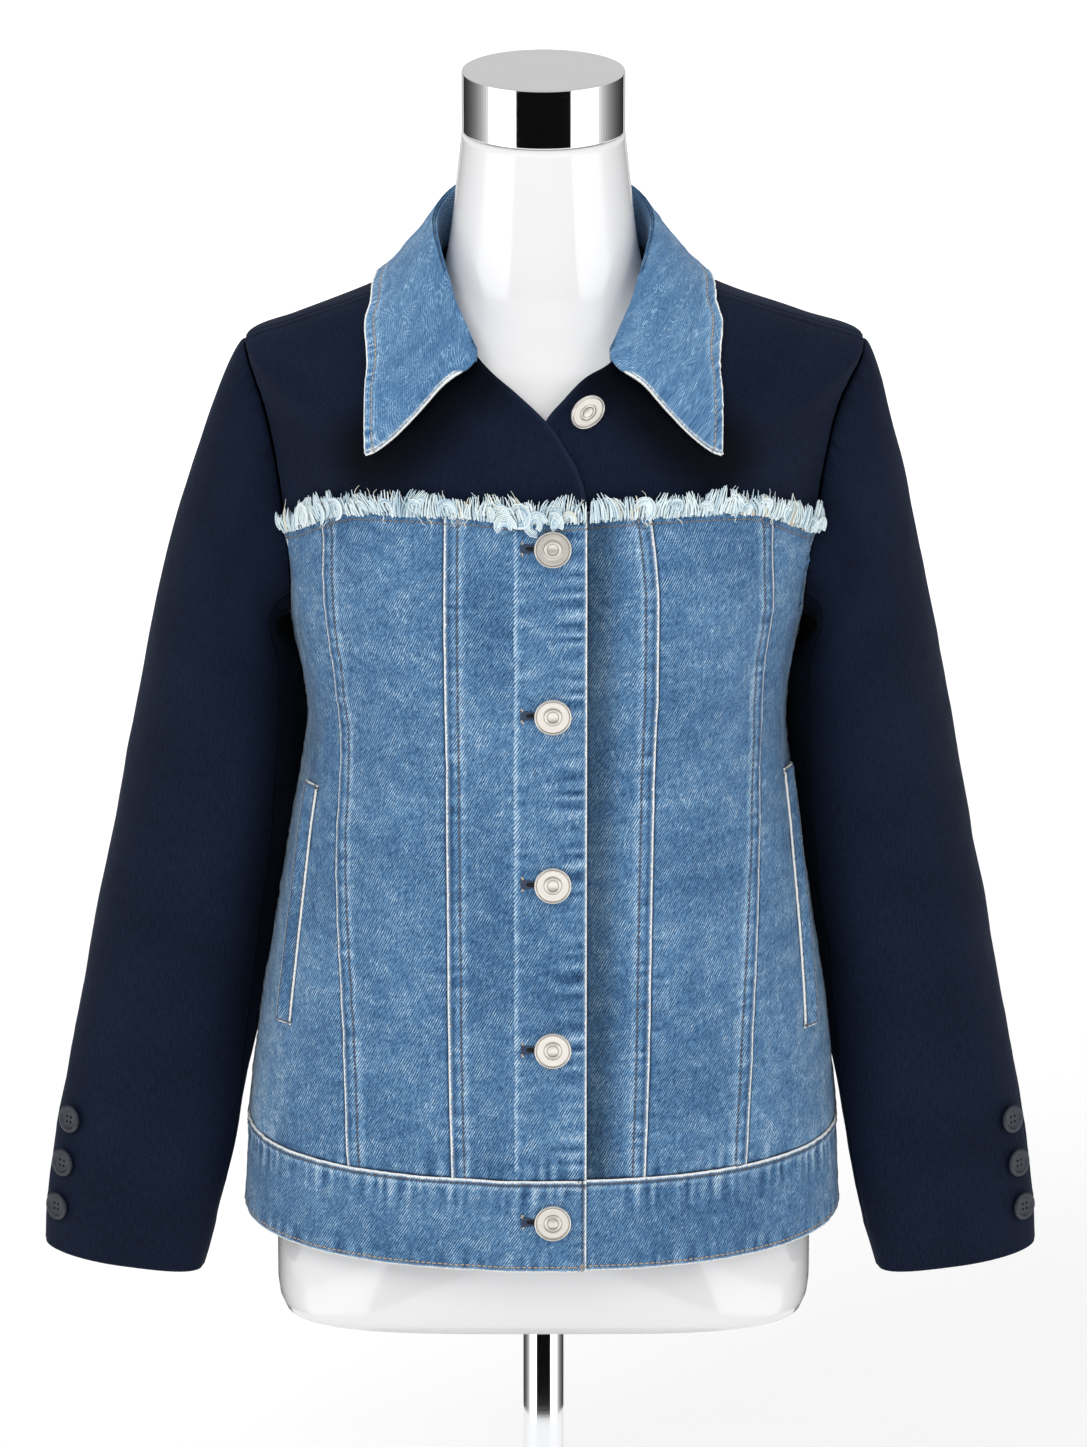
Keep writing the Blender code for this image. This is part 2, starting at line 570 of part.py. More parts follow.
# ---------------------------------------------------------------- collar
def collar_place(u, v):
    """u runs from the wearer's right front end to the left one, v from the neck seam to the outer edge."""
    side = -1 if u < 0.5 else 1
    along = 1 - abs(2 * u - 1)
    fold = row_at(COLLAR, along)
    foot = math.radians(fold.neck_angle), fold.neck_level
    edge = math.radians(fold.edge_angle), fold.edge_level
    base = torso(*foot) + torso_normal(*foot) * LAY_GAP
    top = base + Vector((fold.lean_x, fold.lean_y, fold.rise))
    stand_share, turn_share = 0.25, 0.5

    def fall(w):
        angle = foot[0] + (edge[0] - foot[0]) * w**fold.lag
        level = foot[1] + (edge[1] - foot[1]) * w
        surface = torso(angle, level) + torso_normal(angle, level) * (CLOTH + COLLAR_GAP)
        return surface + (top - base) * (1 - w) ** 1.6

    turn = min(0.005, 0.45 * (top - base).length)
    if v < stand_share:
        point = base.lerp(top - (top - base).normalized() * turn, v / stand_share)
    else:
        first = top - (top - base).normalized() * turn
        out = min(turn / (fall(0.02) - fall(0)).length * 0.02, 0.2)
        if v < turn_share:
            t = (v - stand_share) / (turn_share - stand_share)
            point = first * (1 - t) ** 2 + fall(0) * 2 * t * (1 - t) + fall(out) * t**2
        else:
            point = fall(out + (1 - out) * (v - turn_share) / (1 - turn_share))
    return Vector((side * point.x, point.y, point.z))


def build_collar():
    sheet("collar", "denim", collar_place, 24, 9, gap=0.0)


# ---------------------------------------------------------------- sleeves
def sleeve_ring(side, height, turn):
    """Point of the sleeve tube at this height above the hem; turn is 0 outside, a quarter in front."""
    tube = row_at(SLEEVE, height)
    reach = tube.width / 2 * math.cos(turn)
    shift = CUFF_SHIFT * (SLEEVE_TOP - height) / (SLEEVE_TOP - CUFF)
    return Vector((side * (tube.x + reach) + shift, tube.y - tube.depth / 2 * math.sin(turn),
                   HEM_HEIGHT + height + SLEEVE_LEAN * reach))


def armhole_point(side, turn):
    """Point of the armhole seam: turn is 0 at the shoulder tip, a quarter in front, half under the arm."""
    middle, reach = (UNDERARM + SHOULDER_TIP) / 2, (SHOULDER_TIP - UNDERARM) / 2
    level = middle + reach * math.cos(turn)
    return torso(armhole_angle(level, side, math.sin(turn) < 0), level)


def sleeve_point(side, turn, down):
    """Point of the sleeve: turn goes round it, down runs from 0 at the armhole to 1 at the cuff."""
    if down > HEAD_SHARE:
        share = (down - HEAD_SHARE) / (1 - HEAD_SHARE)
        return sleeve_ring(side, SLEEVE_TOP + (CUFF - SLEEVE_TOP) * share, turn)
    start, end = armhole_point(side, turn), sleeve_ring(side, SLEEVE_TOP, turn)
    under = 0.5 - 0.5 * math.cos(turn)
    first = start + Vector((side * (0.0085 + 0.0155 * under), -0.010 * math.sin(turn), -0.010 * under))
    second = end + Vector((-0.017 * side * (1 - under), 0, 0.45 * (end - start).length))
    t = down / HEAD_SHARE
    return (start * (1 - t) ** 3 + first * 3 * t * (1 - t) ** 2
            + second * 3 * t**2 * (1 - t) + end * t**3)


def build_sleeves():
    front, back = SLEEVE_SEAMS

    def seams(down):
        return [math.radians(pair[0] + (pair[1] - pair[0]) * smoothstep(0.1, 0.9, down))
                for pair in (front, back)]

    for word, side in (("right", -1), ("left", 1)):
        for piece, under, across in (("upper", False, 14), ("under", True, 5)):
            def place(u, v, side=side, under=under):
                front_turn, back_turn = seams(1 - v)
                start, end = (front_turn, 2 * math.pi + back_turn) if under else (back_turn, front_turn)
                share = 0.5 * u + 0.25 - 0.25 * math.cos(math.pi * u)
                return sleeve_point(side, start + (end - start) * share, 1 - v)

            sheet(f"sleeve_{piece}_{word}", "suiting", place, across, 11, gap=SLEEVE_HALF_GAP,
                  flip=side > 0)


# ---------------------------------------------------------------- buttons
def turned(name, finish, profile, matrix, steps):
    """A turned piece: its profile, (radius, height) from top to bottom, spun about its own Z."""
    mesh = bpy.data.meshes.new(name)
    mesh.from_pydata([(radius, 0, height) for radius, height in profile],
                     [(i, i + 1) for i in range(len(profile) - 1)], [])
    item = add_object(name, mesh, finish)
    item.matrix_world = matrix
    spin = item.modifiers.new("turn", "SCREW")
    spin.steps = spin.render_steps = steps
    spin.use_merge_vertices = True
    spin.merge_threshold = 1e-5
    return item


def seat(point, normal):
    """Matrix that stands a turned piece on a point, with its Z along the normal."""
    return Matrix.Translation(point) @ normal.to_track_quat("Z", "Y").to_matrix().to_4x4()


def button_profile(diameter, thick):
    """Dished button with a raised rim."""
    radius = diameter / 2
    return [(0, thick * 0.62), (radius * 0.62, thick * 0.62), (radius * 0.72, thick), (radius * 0.94, thick),
            (radius, thick * 0.7), (radius, 0.0002), (radius * 0.95, 0), (0, 0)]


def build_buttons():
    profile = button_profile(BUTTON_DIAMETER, 0.0032)
    for number, height in enumerate(BUTTON_HEIGHTS, 1):
        place = on_torso(BUTTON_X, height)
        normal = torso_normal(*place)
        point = torso(*place) + normal * (LAP + 0.0007)
        turned(f"button_{number}", "nickel", profile, seat(point, normal), 16)
    place = on_torso(*OPEN_BUTTON)
    normal = torso_normal(*place)
    point = torso(*place) + normal * 0.0001
    turned("button_open", "nickel", profile, seat(point, normal), 16)

    profile = button_profile(CUFF_BUTTON_DIAMETER, 0.0028)
    for word, side in (("right", -1), ("left", 1)):
        for number, rest in enumerate(CUFF_BUTTON_SEATS):
            height, turn = CUFF_BUTTON_HEIGHT + CUFF_BUTTON_PITCH * number, CUFF_BUTTON_TURN
            point = sleeve_ring(side, height, turn)
            around = sleeve_ring(side, height, turn + 0.01) - point
            up = sleeve_ring(side, height + 0.002, turn) - point
            normal = up.cross(around).normalized() * side
            point += normal * rest
            turned(f"cuff_button_{word}_{number + 1}", "horn", profile, seat(point, normal), 12)


# ---------------------------------------------------------------- dress form and stand
def build_form():
    shape = bmesh.new()
    count = 2 * len(FORM) - 1
    rings = []
    for i in range(count):
        level = FORM[i // 2].level if i % 2 == 0 else (FORM[i // 2].level + FORM[i // 2 + 1].level) / 2
        ring = row_at(FORM, level)
        circle = bmesh.ops.create_circle(shape, segments=FORM_STEPS, radius=1)["verts"]
        for step, vert in enumerate(circle):
            vert.co = ring_point(ring, 2 * math.pi * step / FORM_STEPS)
        rings.append(circle)
    for lower, upper in zip(rings, rings[1:]):
        for i in range(FORM_STEPS):
            j = (i + 1) % FORM_STEPS
            shape.faces.new((lower[i], lower[j], upper[j], upper[i]))
    for ring in (rings[0], rings[-1]):
        shape.faces.new(ring)
    bmesh.ops.recalc_face_normals(shape, faces=shape.faces)
    mesh = bpy.data.meshes.new("form_body")
    shape.to_mesh(mesh)
    shape.free()
    add_object("form_body", mesh, "form_white")


def build_stand():
    up = Matrix.Identity(4)
    cap_low, cap_high = HEM_HEIGHT + CAP_BASE, HEM_HEIGHT + CAP_BASE + CAP_HEIGHT
    edge = 0.0012
    turned("neck_cap", "chrome", [
        (0, cap_high), (CAP_RADIUS - edge, cap_high), (CAP_RADIUS, cap_high - edge),
        (CAP_RADIUS, cap_low + edge), (CAP_RADIUS - edge, cap_low), (0, cap_low)], up, 32)
    underside = HEM_HEIGHT + FORM_BOTTOM - 0.0003
    flange = underside - 0.010
    turned("pole_flange", "chrome", [
        (0, underside), (0.030, underside), (0.031, underside - 0.001), (0.031, flange + 0.001),
        (0.030, flange), (0, flange)], up, 24)
    pole_foot = BASE_THICK + 0.0003
    turned("pole", "chrome", [
        (0, flange - 0.0003), (POLE_RADIUS, flange - 0.0003), (POLE_RADIUS, pole_foot), (0, pole_foot)],
        up, 24)
    turned("base", "chrome", [
        (0, BASE_THICK), (BASE_RADIUS - 0.003, BASE_THICK), (BASE_RADIUS, BASE_THICK - 0.003),
        (BASE_RADIUS, 0.001), (BASE_RADIUS - 0.001, 0), (0, 0)], up, 48)


clear_scene()
collection = bpy.data.collections.new("denim_jacket_on_dress_form")
bpy.context.scene.collection.children.link(collection)
finishes = make_finishes()
build_fronts()
build_backs()
build_waistband()
build_welts()
build_yoke()
build_fray()
build_collar()
build_sleeves()
build_buttons()
build_form()
build_stand()
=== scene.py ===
"""Denim jacket with suiting yoke and sleeves, on a limbless dress form and a round stand.

Lengths are in metres and angles in radians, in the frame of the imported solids: the stand's underside is
at the origin, +Z is up, the jacket's front faces -Y and the wearer's left side is at +X. Relief on cloth
is in millimetres. The jacket's outer face is one surface, torso(angle, level): angle is 0 at the centre
front and a quarter turn at the wearer's left side, and level climbs from the hem to the neck.
"""
import json
import math
import random
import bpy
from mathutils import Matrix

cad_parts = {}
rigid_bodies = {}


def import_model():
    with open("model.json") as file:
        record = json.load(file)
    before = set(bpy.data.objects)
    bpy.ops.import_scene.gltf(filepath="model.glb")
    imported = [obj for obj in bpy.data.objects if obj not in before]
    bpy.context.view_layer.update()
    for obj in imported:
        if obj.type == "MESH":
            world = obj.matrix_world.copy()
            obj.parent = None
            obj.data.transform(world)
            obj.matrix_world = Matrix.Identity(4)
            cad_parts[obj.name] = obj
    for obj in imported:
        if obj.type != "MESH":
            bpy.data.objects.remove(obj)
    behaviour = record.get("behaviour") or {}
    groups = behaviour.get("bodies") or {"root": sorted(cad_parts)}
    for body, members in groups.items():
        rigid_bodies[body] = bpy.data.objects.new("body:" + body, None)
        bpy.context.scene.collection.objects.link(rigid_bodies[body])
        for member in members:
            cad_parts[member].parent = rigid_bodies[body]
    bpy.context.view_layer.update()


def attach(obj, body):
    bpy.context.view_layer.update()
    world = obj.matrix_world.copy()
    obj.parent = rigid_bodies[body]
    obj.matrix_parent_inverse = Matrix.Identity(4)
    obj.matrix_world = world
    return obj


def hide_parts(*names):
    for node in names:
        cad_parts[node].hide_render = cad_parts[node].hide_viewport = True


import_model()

from types import SimpleNamespace

import bmesh
import bpy
import numpy as np
from mathutils import Matrix, Vector

bl_info = {
    "name": "Denim Jacket on a Dress Form",
    "version": (1, 0, 0),
    "blender": (4, 5, 0),
    "location": "3D View > Sidebar > Jacket",
    "description": "Builds a cropped denim jacket with suiting yoke and sleeves on a glossy dress form",
    "category": "Object",
}

BODY = "root"
MM = 0.001

# ---------------------------------------------------------------- sizes shared with the solids
HEM_HEIGHT = 0.327
DENIM_WALL, SUITING_WALL = 0.0013, 0.0011
LAP = 0.0021  # how far the lapped front stands out over the front below it
BAND_TOP, YOKE, UNDERARM, SHOULDER_TIP, NECK = 0.057, 0.468, 0.385, 0.583, 0.718
RAW_EDGE = YOKE + 0.0085  # level where the denim's raw edge ends, above the yoke seam
YOKE_DIP, CENTRE_DIP = 0.0105, 0.0028  # how far the yoke seam drops at the armholes and the centre
YOKE_STITCH = 0.0050  # topstitch below the yoke seam
PLACKET_SEAM, FRONT_EDGE, UNDER_EDGE, LAP_START = -0.017, 0.0255, -0.014, -0.045
BACK_SEAM_X = 0.064
BUTTON_X = 0.0055
BUTTON_HEIGHTS = (0.0320, 0.1405, 0.2430, 0.3480, 0.4510)  # above the hem
OPEN_BUTTON = (0.0255, 0.529)
OPEN_BUTTON_FACE = (0.48, -0.80, -0.28)  # where that button, tipped on its shank, faces
OPEN_BUTTON_STAND = 0.0080  # how far its back stands off the yoke
BUTTON_THICK, CUFF_BUTTON_THICK = 0.0032, 0.0030
SHANK = ((0, 0), (0.0032, 0), (0.0026, 0.0040), (0.0026, 0.0088), (0, 0.0088))  # radius and height
CUFF_BUTTON_HEIGHTS = (-0.004, 0.024, 0.052)
CUFF_BUTTON_TURN = math.radians(32)
SIDE_DROP = 5.0  # how late a ring line leaves its centre height on the way to the side
ARMHOLE_FRONT, ARMHOLE_BACK, ARMHOLE_SQUARE = math.radians(22), math.radians(25), 2.4
ARMHOLE_MIDDLE, ARMHOLE_REACH = (UNDERARM + SHOULDER_TIP) / 2, (SHOULDER_TIP - UNDERARM) / 2
SLEEVE_SWING = 0.0145  # how far the cloth behind the arm leans in against the jacket
CUFF_SHIFT, SLEEVE_LEAN, HEAD_SHARE = -0.002, 0.14, 0.36
SLEEVE_SEAMS = ((140, 157), (-65, 4))  # front and back seam: degrees at the armhole and at the cuff
COLLAR_WALL = 0.0016
COLLAR_GAP = 0.0032  # between the collar's leaf and the yoke
LEAF_STAND_OUT = 0.0054  # how far the leaf's outer face lies over the yoke, away from its edges
LEAF_X = 0.1055  # how far out the collar's upright outer edges stand
EDGE_DRAW, EDGE_DRAW_AT, EDGE_DRAW_REACH = 0.0042, 0.295, 0.063  # draws that edge in below the shoulder
COLLAR_TWILL = 0.00170
QUARTER = math.pi / 2


class Table:
    """Rows of named columns, read between the rows on smooth curves that never swing past them."""

    def __init__(self, names, rows):
        self.names = names.split()
        data = np.array(rows, float)
        self.keys, self.columns = data[:, 0], data[:, 1:].T
        slopes = np.diff(self.columns) / np.diff(self.keys)
        before, after = slopes[:, :-1], slopes[:, 1:]
        both = np.where(before * after > 0, before + after, 1.0)
        inner = np.where(before * after > 0, 2 * before * after / both, 0.0)
        self.tangents = np.hstack([slopes[:, :1], inner, slopes[:, -1:]])

    def at(self, key):
        key = np.clip(np.asarray(key, float), self.keys[0], self.keys[-1])
        row = np.clip(np.searchsorted(self.keys, key, side="right") - 1, 0, len(self.keys) - 2)
        span = self.keys[row + 1] - self.keys[row]
        t = (key - self.keys[row]) / span
        low, high = self.columns[:, row], self.columns[:, row + 1]
        rise, fall = self.tangents[:, row], self.tangents[:, row + 1]
        values = ((2 * t**3 - 3 * t**2 + 1) * low + (t**3 - 2 * t**2 + t) * span * rise
                  + (3 * t**2 - 2 * t**3) * high + (t**3 - t**2) * span * fall)
        return SimpleNamespace(**dict(zip(self.names, values)))


# Sections of the jacket by level: half width; depth in front and behind; x and y of the middle; heights
# above the hem at the sides, the centre front and the centre back; and how square the section is.
RING = "half front back shift mid side_z front_z back_z square"
JACKET = Table(RING, (
    (0.000, 0.1810, 0.124, 0.115, -0.0009, 0.000, 0.000, 0.000, 0.000, 2.25),
    (0.057, 0.1780, 0.122, 0.112, -0.0006, 0.000, 0.057, 0.057, 0.057, 2.25),
    (0.123, 0.1715, 0.120, 0.108, 0.0005, 0.000, 0.123, 0.123, 0.123, 2.25),
    (0.179, 0.1630, 0.118, 0.104, 0.0010, 0.000, 0.179, 0.179, 0.179, 2.25),
    (0.248, 0.1520, 0.115, 0.098, 0.0012, 0.000, 0.248, 0.248, 0.248, 2.25),
    (0.315, 0.1429, 0.114, 0.093, 0.0020, 0.000, 0.315, 0.315, 0.315, 2.25),
    (0.363, 0.1490, 0.115, 0.094, 0.0015, 0.000, 0.359, 0.363, 0.363, 2.25),
    (0.413, 0.1572, 0.117, 0.098, 0.0025, 0.000, 0.397, 0.413, 0.413, 2.25),
    (0.468, 0.1660, 0.114, 0.099, 0.0040, 0.000, 0.437, 0.468, 0.468, 2.25),
    (0.513, 0.1712, 0.109, 0.098, 0.0040, -0.001, 0.480, 0.493, 0.497, 2.25),
    (0.553, 0.1770, 0.103, 0.095, 0.0045, -0.003, 0.519, 0.511, 0.519, 2.2),
    (0.583, 0.1834, 0.097, 0.091, 0.0065, -0.005, 0.5455, 0.524, 0.535, 2.2),
    (0.613, 0.1560, 0.091, 0.086, 0.0045, -0.006, 0.5575, 0.535, 0.550, 2.2),
    (0.653, 0.1190, 0.084, 0.079, 0.0025, -0.006, 0.5695, 0.547, 0.568, 2.15),
    (0.693, 0.0860, 0.076, 0.072, 0.0010, -0.005, 0.5810, 0.556, 0.586, 2.1),
    (0.718, 0.0640, 0.071, 0.067, 0.0000, -0.004, 0.5900, 0.562, 0.599, 2.0),
))
# x of the front seams by level, on the wearer's right and left.
FRONT_SEAMS = Table("right_outer right_inner left_inner left_outer", (
    (0.057, -0.1168, -0.0541, 0.0601, 0.1210),
    (0.129, -0.1188, -0.0556, 0.0622, 0.1240),
    (0.243, -0.1228, -0.0564, 0.0638, 0.1280),
    (0.313, -0.1198, -0.0568, 0.0650, 0.1285),
    (0.363, -0.1240, -0.0575, 0.0668, 0.1305),
    (0.413, -0.1290, -0.0578, 0.0670, 0.1355),
    (0.468, -0.1300, -0.0572, 0.0623, 0.1343),
))
LAPPED_EDGE = ((-0.0300, 0.5485), (-0.0165, 0.5390), (0.0020, 0.5240), (0.0106, 0.5120),
               (0.0200, 0.4965), (0.0245, 0.4820))
COVERED_EDGE = ((0.0247, 0.5470), (0.0140, 0.5380), (0.0020, 0.5240), (-0.0060, 0.5030),
                (-0.0110, 0.4830))
WELTS = (("right", (-0.1372, 0.282), (-0.1557, 0.134)), ("left", (0.1449, 0.287), (0.1602, 0.130)))
# Sleeve tube by height above the hem: x and y of its middle, width and depth.
SLEEVE = Table("x y width depth", (
    (-0.033, 0.2535, -0.004, 0.0970, 0.059),
    (-0.002, 0.2485, -0.004, 0.1034, 0.063),
    (0.057, 0.2378, -0.002, 0.1075, 0.070),
    (0.128, 0.2257, 0.001, 0.1050, 0.080),
    (0.179, 0.2177, 0.003, 0.1025, 0.088),
    (0.269, 0.2025, 0.004, 0.0985, 0.098),
    (0.351, 0.1932, 0.004, 0.0866, 0.112),
))
CUFF, SLEEVE_TOP = -0.033, 0.351
# Collar by share of its half length: angle (degrees) and level of the neck seam, lean and rise of the
# stand, and angle and level of the outer edge.
COLLAR = Table("neck_angle neck_level lean_x lean_y rise edge_angle edge_level", (
    (0.00, 22.3, 0.6790, -0.001, 0.002, 0.008, 34.6, 0.525),
    (0.08, 28.0, 0.6930, -0.001, 0.003, 0.011, 33.6, 0.556),
    (0.16, 36.5, 0.7040, -0.001, 0.004, 0.015, 33.6, 0.594),
    (0.24, 46.5, 0.7110, -0.001, 0.004, 0.019, 50.0, 0.633),
    (0.32, 57.0, 0.7150, -0.002, 0.004, 0.023, 63.5, 0.658),
    (0.44, 75.0, 0.7175, -0.002, 0.002, 0.028, 78.0, 0.675),
    (0.56, 97.0, 0.7180, -0.003, 0.000, 0.031, 97.0, 0.678),
    (0.70, 122.0, 0.7180, -0.003, -0.002, 0.033, 123.0, 0.667),
    (0.85, 150.0, 0.7180, -0.002, -0.003, 0.034, 151.0, 0.650),
    (1.00, 180.0, 0.7180, 0.000, -0.004, 0.034, 180.0, 0.640),
))
CAP_BASE, CAP_HEIGHT, CAP_RADIUS = 0.6726, 0.0364, 0.0482
FORM_BOTTOM = -0.061
POLE_RADIUS, BASE_RADIUS, BASE_THICK = 0.0125, 0.150, 0.008
FORM = Table(RING, (
    (0.000, 0.1480, 0.070, 0.078, 0.000, 0.000, -0.0610, -0.0610, -0.0610, 3.9),
    (0.010, 0.1580, 0.086, 0.092, 0.000, 0.000, -0.0560, -0.0560, -0.0560, 3.8),
    (0.020, 0.1620, 0.093, 0.098, 0.000, 0.000, -0.0430, -0.0430, -0.0430, 3.4),
    (0.060, 0.1622, 0.106, 0.101, 0.000, 0.000, 0.020, 0.020, 0.020, 2.3),
    (0.120, 0.1580, 0.107, 0.098, 0.000, 0.000, 0.100, 0.100, 0.100, 2.3),
    (0.200, 0.1460, 0.103, 0.090, 0.000, 0.000, 0.193, 0.193, 0.193, 2.25),
    (0.290, 0.1305, 0.101, 0.082, 0.000, 0.000, 0.313, 0.313, 0.313, 2.25),
    (0.350, 0.1380, 0.104, 0.085, 0.000, 0.000, 0.373, 0.373, 0.373, 2.25),
    (0.420, 0.1480, 0.106, 0.091, 0.001, 0.000, 0.438, 0.448, 0.448, 2.25),
    (0.480, 0.1530, 0.101, 0.089, 0.003, -0.001, 0.484, 0.487, 0.487, 2.25),
    (0.520, 0.1590, 0.093, 0.085, 0.004, -0.003, 0.5215, 0.509, 0.509, 2.2),
    (0.550, 0.1560, 0.086, 0.081, 0.004, -0.005, 0.5420, 0.521, 0.523, 2.2),
    (0.590, 0.1340, 0.079, 0.074, 0.003, -0.006, 0.5615, 0.531, 0.538, 2.2),
    (0.640, 0.1000, 0.071, 0.067, 0.0015, -0.006, 0.5730, 0.544, 0.557, 2.15),
    (0.672, 0.0740, 0.061, 0.059, 0.0005, -0.004, 0.5815, 0.558, 0.575, 2.1),
    (0.690, 0.0600, 0.056, 0.054, 0.0000, -0.002, 0.5890, 0.578, 0.591, 2.0),
    (0.710, 0.0550, 0.0530, 0.052, 0.0000, -0.001, 0.610, 0.603, 0.613, 2.0),
    (0.740, 0.0515, 0.050, 0.050, 0.0000, 0.000, 0.641, 0.639, 0.643, 2.0),
    (0.780, 0.0482, 0.0477, 0.0477, 0.0000, 0.000, 0.6722, 0.6722, 0.6722, 2.0),
))


# ---------------------------------------------------------------- the body surface
def smoothstep(start, end, value):
    t = np.clip((np.asarray(value, float) - start) / (end - start), 0.0, 1.0)
    return t * t * (3 - 2 * t)


def bump_at(value, middle, width):
    return np.exp(-(((value - middle) / width) ** 2))


def ring_point(ring, angle):
    sine, cosine = np.sin(angle), np.cos(angle)
    reach = (np.abs(sine) ** ring.square + np.abs(cosine) ** ring.square) ** (-1 / ring.square)
    in_front = cosine > 0
    depth = np.where(in_front, ring.front, ring.back)
    centre_z = np.where(in_front, ring.front_z, ring.back_z)
    height = ring.side_z + (centre_z - ring.side_z) * (1 - np.abs(sine) ** SIDE_DROP)
    return np.stack([ring.shift + ring.half * reach * sine, ring.mid - depth * reach * cosine,
                     HEM_HEIGHT + height], axis=-1)


def torso(angle, level):
    """Point of the jacket's outer face, with the turn from the chest to the shoulder eased."""
    angle, level = np.broadcast_arrays(np.asarray(angle, float), np.asarray(level, float))
    sine = np.abs(np.sin(angle))
    in_front = smoothstep(-0.1, 0.2, np.cos(angle))
    dip = YOKE_DIP * smoothstep(0.66, 0.92, sine) + CENTRE_DIP * bump_at(sine, 0.0, 0.24)
    level = level - dip * in_front * bump_at(level, YOKE, 0.030)
    ease = (1 - smoothstep(0.72, 0.96, sine)) * bump_at(level, 0.586, 0.045) * 0.016
    total = 0.0
    for step, share in ((-2, 0.11), (-1, 0.24), (0, 0.30), (1, 0.24), (2, 0.11)):
        total = total + share * ring_point(JACKET.at(level + ease * step), angle)
    return total


def torso_normal(angle, level):
    step = 1e-3
    around = torso(angle + step, level) - torso(angle - step, level)
    level = np.asarray(level, float)
    up = torso(angle, np.minimum(level + step, NECK)) - torso(angle, level - step)
    normal = np.cross(around, up)
    return normal / np.linalg.norm(normal, axis=-1, keepdims=True)


def angle_of(x, level, front=True):
    """Angle at which the ring line at this level has this x, in front or behind."""
    ring = JACKET.at(level)
    part = np.clip(np.abs(x - ring.shift) / ring.half, 0, 1)
    other = (1 - part**ring.square) ** (1 / ring.square)
    angle = np.copysign(np.arctan2(part, other), x - ring.shift)
    return angle if front else np.copysign(math.pi, angle) - angle


def angle_at(x, level):
    """Angle in front at which the eased surface has this x."""
    angle = angle_of(x, level)
    for _ in range(4):
        now = torso(angle, level)[..., 0]
        slope = (torso(angle + 1e-3, level)[..., 0] - now) / 1e-3
        angle = angle + np.clip((x - now) / slope, -0.1, 0.1)
    return angle


def on_torso(x, height):
    """(angle, level) of the point in front with this x and this height above the hem."""
    low, high = 0.0, NECK
    for _ in range(40):
        level = (low + high) / 2
        place = torso(angle_of(x, level), level)
        if place[2] - HEM_HEIGHT < height and JACKET.at(level).half > abs(x):
            low = level
        else:
            high = level
    return float(angle_of(x, low)), low


def lift_of(x):
    return LAP * smoothstep(LAP_START, PLACKET_SEAM - 0.004, x)


def armhole_angle(level, side, back=False):
    part = np.clip(np.abs(np.asarray(level, float) - ARMHOLE_MIDDLE) / ARMHOLE_REACH, 0, 1)
    width = (1 - part**ARMHOLE_SQUARE) ** (1 / ARMHOLE_SQUARE)
    return side * (QUARTER + width * (ARMHOLE_BACK if back else -ARMHOLE_FRONT))


# ---------------------------------------------------------------- paths and patches
def armhole_path(low, high, side, back=False):
    first, last = (math.asin(round((level - ARMHOLE_MIDDLE) / ARMHOLE_REACH, 9)) for level in (low, high))

    def at(share):
        level = ARMHOLE_MIDDLE + ARMHOLE_REACH * np.sin(first + (last - first) * share)
        return armhole_angle(level, side, back), level

    return at


def straight(start, end):
    """Path from one (angle, level) to another."""
    return lambda s: tuple(a + (b - a) * s for a, b in zip(start, end))


def joined(first, second, share):
    """One path made of two, with the first taking this share."""
    def at(s):
        a, b = first(np.clip(s / share, 0, 1)), second(np.clip((s - share) / (1 - share), 0, 1))
        return tuple(np.where(s < share, p, q) for p, q in zip(a, b))

    return at


def reverse(path):
    return lambda s: path(1 - s)


def curve_through(points):
    """Smooth path through (angle, level) points, by its share of the length."""
    places = np.array([torso(*point) for point in points])
    marks = np.concatenate([[0], np.cumsum(np.linalg.norm(np.diff(places, axis=0), axis=1))])
    table = Table("angle level", np.column_stack([marks / marks[-1], np.array(points)]))

    def at(s):
        row = table.at(s)
        return row.angle, row.level

    return at


def coons(bottom, top, start, end):
    """Patch between four paths: bottom and top run from the start path to the end path."""
    corners = bottom(0.0), bottom(1.0), top(0.0), top(1.0)

    def at(u, v):
        return tuple((1 - v) * bottom(u)[i] + v * top(u)[i] + (1 - u) * start(v)[i] + u * end(v)[i]
                     - (1 - u) * (1 - v) * corners[0][i] - u * (1 - v) * corners[1][i]
                     - (1 - u) * v * corners[2][i] - u * v * corners[3][i] for i in range(2))

    return at


def between(start_at, end_at, low, high):
    """Patch between two lines given as angles by level."""
    def at(u, v):
        level = low + (high - low) * v
        return start_at(level) + (end_at(level) - start_at(level)) * u, level

    return at


def spaced(length, step, start=(), end=()):
    """Shares of a length, with close lines at the given distances (mm) from its ends."""
    marks = [0.0] + [mm * MM for mm in start]
    stop = length - (end[-1] * MM if len(end) else 0.0)
    count = max(1, round((stop - marks[-1]) / step))
    first = marks[-1]
    marks += [first + (stop - first) * i / count for i in range(1, count)]
    marks += [length - mm * MM for mm in reversed(end)] + [length]
    return np.array(marks) / length


FINE = (0.35, 0.8, 1.3, 1.9, 2.7, 3.7, 4.9, 6.2, 7.4, 8.6, 10.2, 12.2)
FEW = (0.4, 1.0, 1.8, 3.0, 4.6)
RAW_ROWS = (0.5, 1.2, 2.0, 3.0, 4.2, 5.4, 6.6, 7.8, 9.0, 10.4, 12.0)


